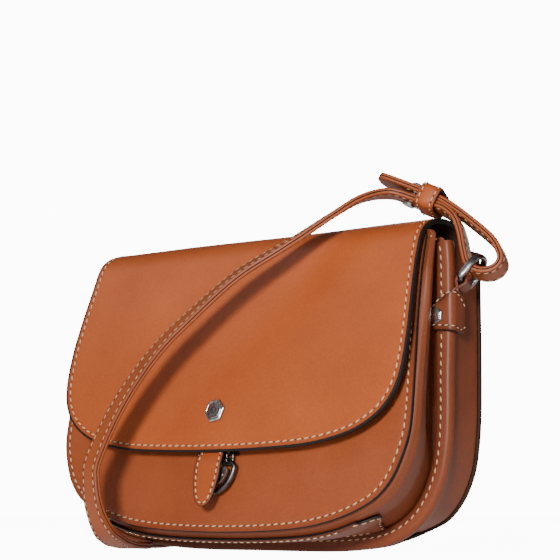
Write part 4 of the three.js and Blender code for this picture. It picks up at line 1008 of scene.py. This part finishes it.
def hex_stud(name, radius, seat, normal, upward, node):
    """Six-sided stud with a softened dome, a shallow ring and small dimples: no lettering."""
    z = unit(normal)
    x = unit(np.cross(upward, z))
    y = np.cross(z, x)
    scale = mix(1, radius / STUD_RADIUS, 0.5)
    sides = 72
    levels = STUD_WALL + [(1.46 + 0.62 * (1 - wide * wide) - 0.22 * groove(wide, 0.76, 0.03)
                           - 0.16 * groove(wide, 0.24, 0.03), wide) for wide in STUD_DOME]
    rings = []
    for index, (rise, wide) in enumerate(levels):
        roundness = min(1.0, max(0.0, (index - 4) / 8))
        ring = []
        for k in range(sides):
            angle = 2 * math.pi * k / sides
            sector = (angle + math.pi / 6) % (math.pi / 3) - math.pi / 6
            flat_side = math.cos(math.pi / 6) / math.cos(math.pi / 6 - abs(sector))
            reach = radius * wide * mix(flat_side, 0.94, roundness)
            beat = -0.12 * max(0.0, math.cos(12 * angle - 0.5)) ** 4 if 0.45 < wide < 0.6 else 0.0
            ring.append(seat + x * reach * math.sin(angle) + y * reach * math.cos(angle)
                        + z * ((rise + beat) * scale))
        rings.append(ring)
    points, faces = skin(rings)
    # The second finish darkens the foot, the two grooves and twelve evenly spaced dots
    slots = []
    for face in range(len(faces) - 2):
        band, k = divmod(face, sides)
        slots.append(1 if band in (0, 1, 7, 13) or (band == 10 and k % 6 in (0, 1)) else 0)
    closed_piece(name, points, faces, [nickel, dark_nickel], "steel", [node], 32, slots + [0, 0])


def studs():
    normal = unit((0, -1, (flap_face(76) - flap_face(74)) / 2))
    seat = np.array((-0.8, flap_face(75), 75.0)) + normal * 0.05
    hex_stud("flap_stud_metal", STUD_RADIUS, seat, normal, (0.32, 0, 1), "flap_stud")
    for side, label in ((1, "right"), (-1, "left")):
        seat = np.array((side * (HALF_WIDTH - 7.6), TAB_FRONT_Y - 0.05, 122.4))
        hex_stud("tab_stud_metal_" + label, TAB_STUD_RADIUS, seat, (0, -1, 0), (side * 0.1, 0, 1),
                 "tab_stud_" + label)


CLASP_X, CLASP_UP, CLASP_TILT = -1.0, 47.1, 0.21
CLASP_HALF, CLASP_DEPTH = 12.4, 15.8  # half the D's bar, and how far the D hangs from it
CLASP_Y = panel_face(CLASP_UP) - 2.75
CLASP_DOWN = np.array((0, -math.sin(CLASP_TILT), -math.cos(CLASP_TILT)))
CLASP_FACE = np.array((0, -math.cos(CLASP_TILT), math.sin(CLASP_TILT)))
EYES_X = (8.6, -10.5)
EYE_HALF, EYE_LOW, EYE_HIGH, EYE_WIRE = 2.1, 2.2, 6.4, 0.75


def clasp_point(across, down, ahead=0.0):
    return np.array((CLASP_X + across, CLASP_Y, CLASP_UP)) + CLASP_DOWN * down + CLASP_FACE * ahead


def wire(path, radii, sides, closed=False, axis=(0, -1, 0)):
    """A bent wire with a radius at each point of its path."""
    path = [np.asarray(p, float) for p in path]
    last = len(path) - 1
    rings = []
    for i, (p, r) in enumerate(zip(path, radii)):
        ahead = path[(i + 1) % len(path)] if closed or i < last else p
        back = path[i - 1] if closed or i > 0 else p
        tangent = unit(ahead - back)
        side = unit(np.cross(tangent, axis))
        over = unit(np.cross(side, tangent))
        rings.append([p + side * r * math.cos(a) + over * r * math.sin(a)
                      for a in np.linspace(0, 2 * math.pi, sides, endpoint=False)])
    return skin(rings, closed)


def clasp():
    shares, angles = np.linspace(-0.86, 0.86, 13), np.linspace(0.06, math.pi - 0.06, 40)
    path = [clasp_point(share * CLASP_HALF, 0) for share in shares]
    path += [clasp_point(CLASP_HALF * math.cos(a), 1.0 + (CLASP_DEPTH - 1.0) * math.sin(a)) for a in angles]
    radii = [1.15 if abs(share) < 0.6 else 1.45 for share in shares] + [1.6] * len(angles)
    parts = [wire(path, radii, 16, closed=True, axis=CLASP_FACE)]
    corners = [(-EYE_HALF, EYE_LOW), (EYE_HALF, EYE_LOW), (EYE_HALF, EYE_HIGH), (-EYE_HALF, EYE_HIGH)]
    for x in EYES_X:
        def eye_point(dx, rise):
            return CLASP_X + x + dx, CLASP_Y + 0.15 * rise, CLASP_UP + rise

        eye = [eye_point(mix(dx, nx, t), mix(rise, nr, t))
               for (dx, rise), (nx, nr) in zip(corners, corners[1:] + corners[:1])
               for t in (0, 0.25, 0.5, 0.75)]
        parts.append(wire(eye, [EYE_WIRE] * len(eye), 8, closed=True))
        for dx in (-EYE_HALF, EYE_HALF):
            parts.append(wire([eye_point(dx, rise) for rise in (0.2, 1.2, 2.2)], [EYE_WIRE] * 3, 8))
    closed_piece("clasp_frame_metal", *gathered(parts), [dark_nickel], "dark_steel", ["clasp_frame"], 50)


def circle(count):
    return np.linspace(0, 2 * math.pi, count, endpoint=False)


def clasp_gate():
    """A plate that closes the D from inside, rolled round its bar, with a small rivet."""
    border = [(-4.4, 0.6), (-4.4, 1.7), (-7.6, 2.3)]
    border += [(8.2 * math.cos(a), 3.0 - 9.4 * math.sin(a)) for a in np.linspace(math.pi, 2 * math.pi, 36)]
    border += [(7.6, 2.3), (4.4, 1.7), (4.4, 0.6)]
    centre = np.mean(border, axis=0)
    rings = []
    for shrink, ahead in ((0.0, -0.9), (0.0, 0.55), (0.35, 0.9), (1.5, 0.9), (2.2, 0.62), (4.5, 0.62)):
        ring = []
        for place in border:
            away = np.array(place) - centre
            length = np.linalg.norm(away)
            across, down = centre + away * max(0.0, (length - shrink) / length)
            ring.append(clasp_point(across, down, ahead))
        rings.append(ring)
    outer, inner = 2.4, 1.55
    roll = [[clasp_point(a, r * math.cos(t), r * math.sin(t)) for t in circle(28)]
            for a, r in ((-4.6, inner), (-4.6, outer - 0.2), (-4.4, outer), (4.4, outer), (4.6, outer - 0.2),
                         (4.6, inner))]
    rivet = [[clasp_point(5.2 + r * math.cos(t), 6.6 + r * math.sin(t), ahead) for t in circle(16)]
             for ahead, r in ((0.6, 0.95), (1.0, 0.9), (1.2, 0.6), (1.26, 0.2))]
    parts = [skin(rings), skin(roll, closed=True), skin(rivet)]
    closed_piece("clasp_gate_metal", *gathered(parts), [plate_nickel], "dark_steel", ["clasp_gate"], 45,
                 body="gate")


# Strap

def strap_frames(steps):
    """Places evenly along the route's rows, each with its tangent, its way across and its face."""
    route = [(a * HALF_WIDTH, -b * HALF_WIDTH, u * FLAP_TOP) for a, b, u, _, _ in STRAP_ROUTE]
    points = smooth_run(route, steps)
    places = np.linspace(0, len(route) - 1, steps)
    soften, turns = np.ones(9) / 9, []
    for index in (3, 4):
        turn = np.interp(places, range(len(route)), [row[index] for row in STRAP_ROUTE])
        turns.append(np.radians(np.convolve(np.pad(turn, 4, mode="edge"), soften, mode="valid")))
    frames = []
    for i, (h, d) in enumerate(zip(*turns)):
        tangent = unit(points[min(i + 1, steps - 1)] - points[max(i - 1, 0)])
        wide = square_to(tangent, (math.sin(h) * math.cos(d), math.cos(h) * math.cos(d), -math.sin(d)))
        frames.append((points[i], wide, unit(np.cross(wide, tangent))))
    return frames


STRAP_FRAMES = strap_frames(760)
STRAP_TIP, STRAP_THREAD = 5, 5.4  # length of each rounded end, and of its thread from the middle


def strap_section():
    """The strap's section, edge to edge over each face: two layers with a dark line between."""
    half, thick = STRAP_WIDTH / 2, STRAP_THICKNESS / 2
    right = [(half - 0.32, 0.04), (half - 0.10, 0.16), (half, 0.42), (half, 1.05), (half - 0.16, 1.45),
             (half - 0.55, thick - 0.04), (half - 1.2, thick), (half - 1.75, thick),
             (half - 2.1, thick - 0.16), (half - 2.45, thick), (half - 3.2, thick + 0.03),
             (2.2, thick + 0.05), (0, thick + 0.06)]
    upper = right + [(-a, b) for a, b in right[:-1]][::-1]
    return upper + [(-a, -b) for a, b in upper]


def strap():
    section = strap_section()
    count = len(section)
    lengths = run_lengths([p for p, _, _ in STRAP_FRAMES])
    rings, distances = [], []
    for along, (p, wide, face) in zip(lengths, STRAP_FRAMES):
        from_end = min(along, lengths[-1] - along)
        short = max(0.0, STRAP_TIP - from_end)
        taper = math.sqrt(max(0.0, 1 - (short / (STRAP_TIP + 0.4)) ** 2))
        rings.append([p + wide * (a * mix(taper, 1, 0.15)) + face * b for a, b in section])
        distances += [(STRAP_WIDTH / 2 - abs(a)) * MM if abs(b) > 1.3 else 0.004 for a, b in section]
    points, faces = skin(rings)
    middle = count // 2
    dark = {0, 1, count - 2, count - 1, middle - 3, middle - 2, middle - 1, middle}
    slots = [1 if k % count in dark else 0 for k in range(len(faces) - 2)] + [1, 1]
    closed_piece("strap_hide", points, faces, [cognac_strap, edge_paint], "hide", ["strap"], 60, slots,
                 distances)
    seams = [[(p + wide * a + face * side * (STRAP_THICKNESS / 2 - 0.1), face * side)
              for p, wide, face in STRAP_FRAMES[14:-14]]
             for side in (-1, 1) for a in (-STRAP_THREAD, STRAP_THREAD)]
    sew("strap", seams, pitch=4.2, length=2.7, radius=0.28, slant=0.14)


KEEPER_CENTRE = np.array((105.6, 3.1, 185.5))
KEEPER_HALF, KEEPER_WALL, KEEPER_CORNER, KEEPER_THREAD = 5.6, 1.7, 2.4, 3.8
KEEPER_PLAY_ACROSS, KEEPER_PLAY_DEEP = 1.0, 1.4


def keeper():
    """A loop round both runs of the strap, with painted edges and two lines of thread."""
    wide = RING_ALONG
    along = square_to(wide, (0.905, 0.13, -0.405))
    face = unit(np.cross(wide, along))
    cx = STRAP_WIDTH / 2 + KEEPER_PLAY_ACROSS - KEEPER_CORNER
    cy = STRAP_THICKNESS + KEEPER_PLAY_DEEP - KEEPER_CORNER
    half = [(-KEEPER_HALF, 0.0), (-KEEPER_HALF, KEEPER_WALL - 0.5), (-5.35, KEEPER_WALL - 0.12),
            (-4.9, KEEPER_WALL), (-4.1, KEEPER_WALL), (-KEEPER_THREAD, KEEPER_WALL - 0.12), (-3.5, KEEPER_WALL)]
    section = half + [(0, KEEPER_WALL + 0.08)] + [(-a, r) for a, r in half[::-1]]
    rings, bases = [], []
    for quarter, (sx, sy) in enumerate(((1, 1), (-1, 1), (-1, -1), (1, -1))):
        for t in np.linspace(0, math.pi / 2, 9):
            angle = math.pi / 2 * quarter + t
            spoke = wide * math.cos(angle) + face * math.sin(angle)
            base = KEEPER_CENTRE + wide * cx * sx + face * cy * sy
            bases.append((base, spoke))
            rings.append([base + spoke * (KEEPER_CORNER + r) + along * a for a, r in section])
    points, faces = skin(rings, closed=True)
    count = len(section)
    slots = [1 if k % count in (0, 1, count - 2) else 0 for k in range(len(faces))]
    distances = [(KEEPER_HALF - abs(a)) * MM for a, _ in section] * len(rings)
    closed_piece("strap_keeper_hide", points, faces, [cognac, edge_paint], "hide", ["strap_keeper"], 50,
                 slots, distances)
    seams = []
    for a in (-KEEPER_THREAD, KEEPER_THREAD):
        lift = KEEPER_CORNER + KEEPER_WALL - 0.02
        seam = [(base + spoke * lift + along * a, spoke) for base, spoke in bases]
        seams.append([(p + (q - p) * t, unit(n + (m - n) * t))
                      for (p, n), (q, m) in zip(seam, seam[1:] + seam[:1]) for t in (0, 0.25, 0.5, 0.75)])
    sew("strap_keeper", seams, pitch=3.6, length=2.5, radius=0.34, slant=0.1)


for build in (front_panel, back_panel, middle_panel, flap, rear_gusset, front_gusset, front_base_overlay,
              rear_base_overlay, closure_tab):
    build()
side_tab("side_tab_right", 1, RING_SEAT, RING_ALONG)
side_tab("side_tab_left", -1, LEFT_SEAT, LEFT_ALONG)
strap_ring("ring_right", RING_SEAT, RING_ALONG, RING_UP)
strap_ring("ring_left", LEFT_SEAT, LEFT_ALONG, LEFT_HANG)
studs()
clasp()
clasp_gate()
strap()
keeper()

# Small metal solids that stay as they are, with the finishes of their neighbours
for node, material in (("clasp_staple", dark_nickel), ("strap_button", nickel), ("strap_rivet", nickel)):
    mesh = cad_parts[node].data
    mesh.materials.clear()
    mesh.materials.append(material)


# Studio

FLOOR_HALF = 6
FLOOR_GLOW, SKY_GLOW = (0.28, 11.0), (0.09, 12.0)  # what lights the bag, and what the camera sees
CAMERA_AZIMUTH, CAMERA_ELEVATION, CAMERA_DISTANCE = math.radians(35.89), math.radians(-8.12), 0.915
CAMERA_AIM = (0.0077, -BASE_CENTRE_Y * MM, 0.1508)
SENSOR = 36
FOCAL_SHARE = 1622 / 560


def glow(tree, unseen, seen):
    """A strength that lights the bag at one level and shows the camera a white ground at another."""
    return spread(tree, add_node(tree, "ShaderNodeLightPath", "Is Camera Ray"), unseen, seen)


def studio():
    floor_mesh = bpy.data.meshes.new("studio_floor")
    half = FLOOR_HALF
    floor_mesh.from_pydata([(-half, -half, 0), (half, -half, 0), (half, half, 0), (-half, half, 0)], [],
                           [(0, 1, 2, 3)])
    material, tree, shader = new_material("pale studio paper")
    paper = ramp(tree, noise(tree, 30, 3, 0.5), [(0.3, (0.90, 0.90, 0.895)), (0.7, (0.93, 0.93, 0.925))])
    fill(tree, shader, {
        "Base Color": paper, "Roughness": 0.95, "Specular IOR Level": 0.05, "Emission Color": (1, 1, 1, 1),
        "Emission Strength": glow(tree, *FLOOR_GLOW)})
    floor_mesh.materials.append(material)
    linked("studio_floor", floor_mesh)

    world = bpy.data.worlds.new("studio")
    world.use_nodes = True
    fill(world.node_tree, world.node_tree.nodes["Background"], {
        "Color": (1, 1, 1, 1), "Strength": glow(world.node_tree, *SKY_GLOW)})
    bpy.context.scene.world = world

    for name, where, aim, size, power in (
            ("key", (0.55, -1.49, 0.42), (0, 0, 0.09), 0.32, 29),
            ("sheen from the upper left", (-1.15, -0.85, 1.45), (0, 0, 0.12), 1.1, 4.2),
            ("edge light from the right", (1.7, 0.35, 0.75), (0, 0, 0.1), 0.6, 1.6),
            ("fill from behind", (-0.7, 1.9, 0.9), (0, 0, 0.1), 1.2, 9)):
        light = bpy.data.lights.new(name, "AREA")
        light.shape = "DISK"
        light.size = size
        light.energy = power
        lamp = linked(name, light)
        lamp.location = where
        lamp.rotation_euler = (Vector(aim) - Vector(where)).to_track_quat("-Z", "Y").to_euler()

    flat = math.cos(CAMERA_ELEVATION)
    back = Vector((math.sin(CAMERA_AZIMUTH) * flat, -math.cos(CAMERA_AZIMUTH) * flat,
                   math.sin(CAMERA_ELEVATION)))
    right = Vector((math.cos(CAMERA_AZIMUTH), math.sin(CAMERA_AZIMUTH), 0))
    view = bpy.data.cameras.new("camera")
    view.sensor_width = SENSOR
    view.lens = FOCAL_SHARE * SENSOR
    view.clip_start = 0.01
    camera = linked("camera", view)
    basis = Matrix((right, back.cross(right), back)).transposed().to_4x4()
    basis.translation = Vector(CAMERA_AIM) + back * CAMERA_DISTANCE
    camera.matrix_world = basis
    bpy.context.scene.camera = camera


studio()
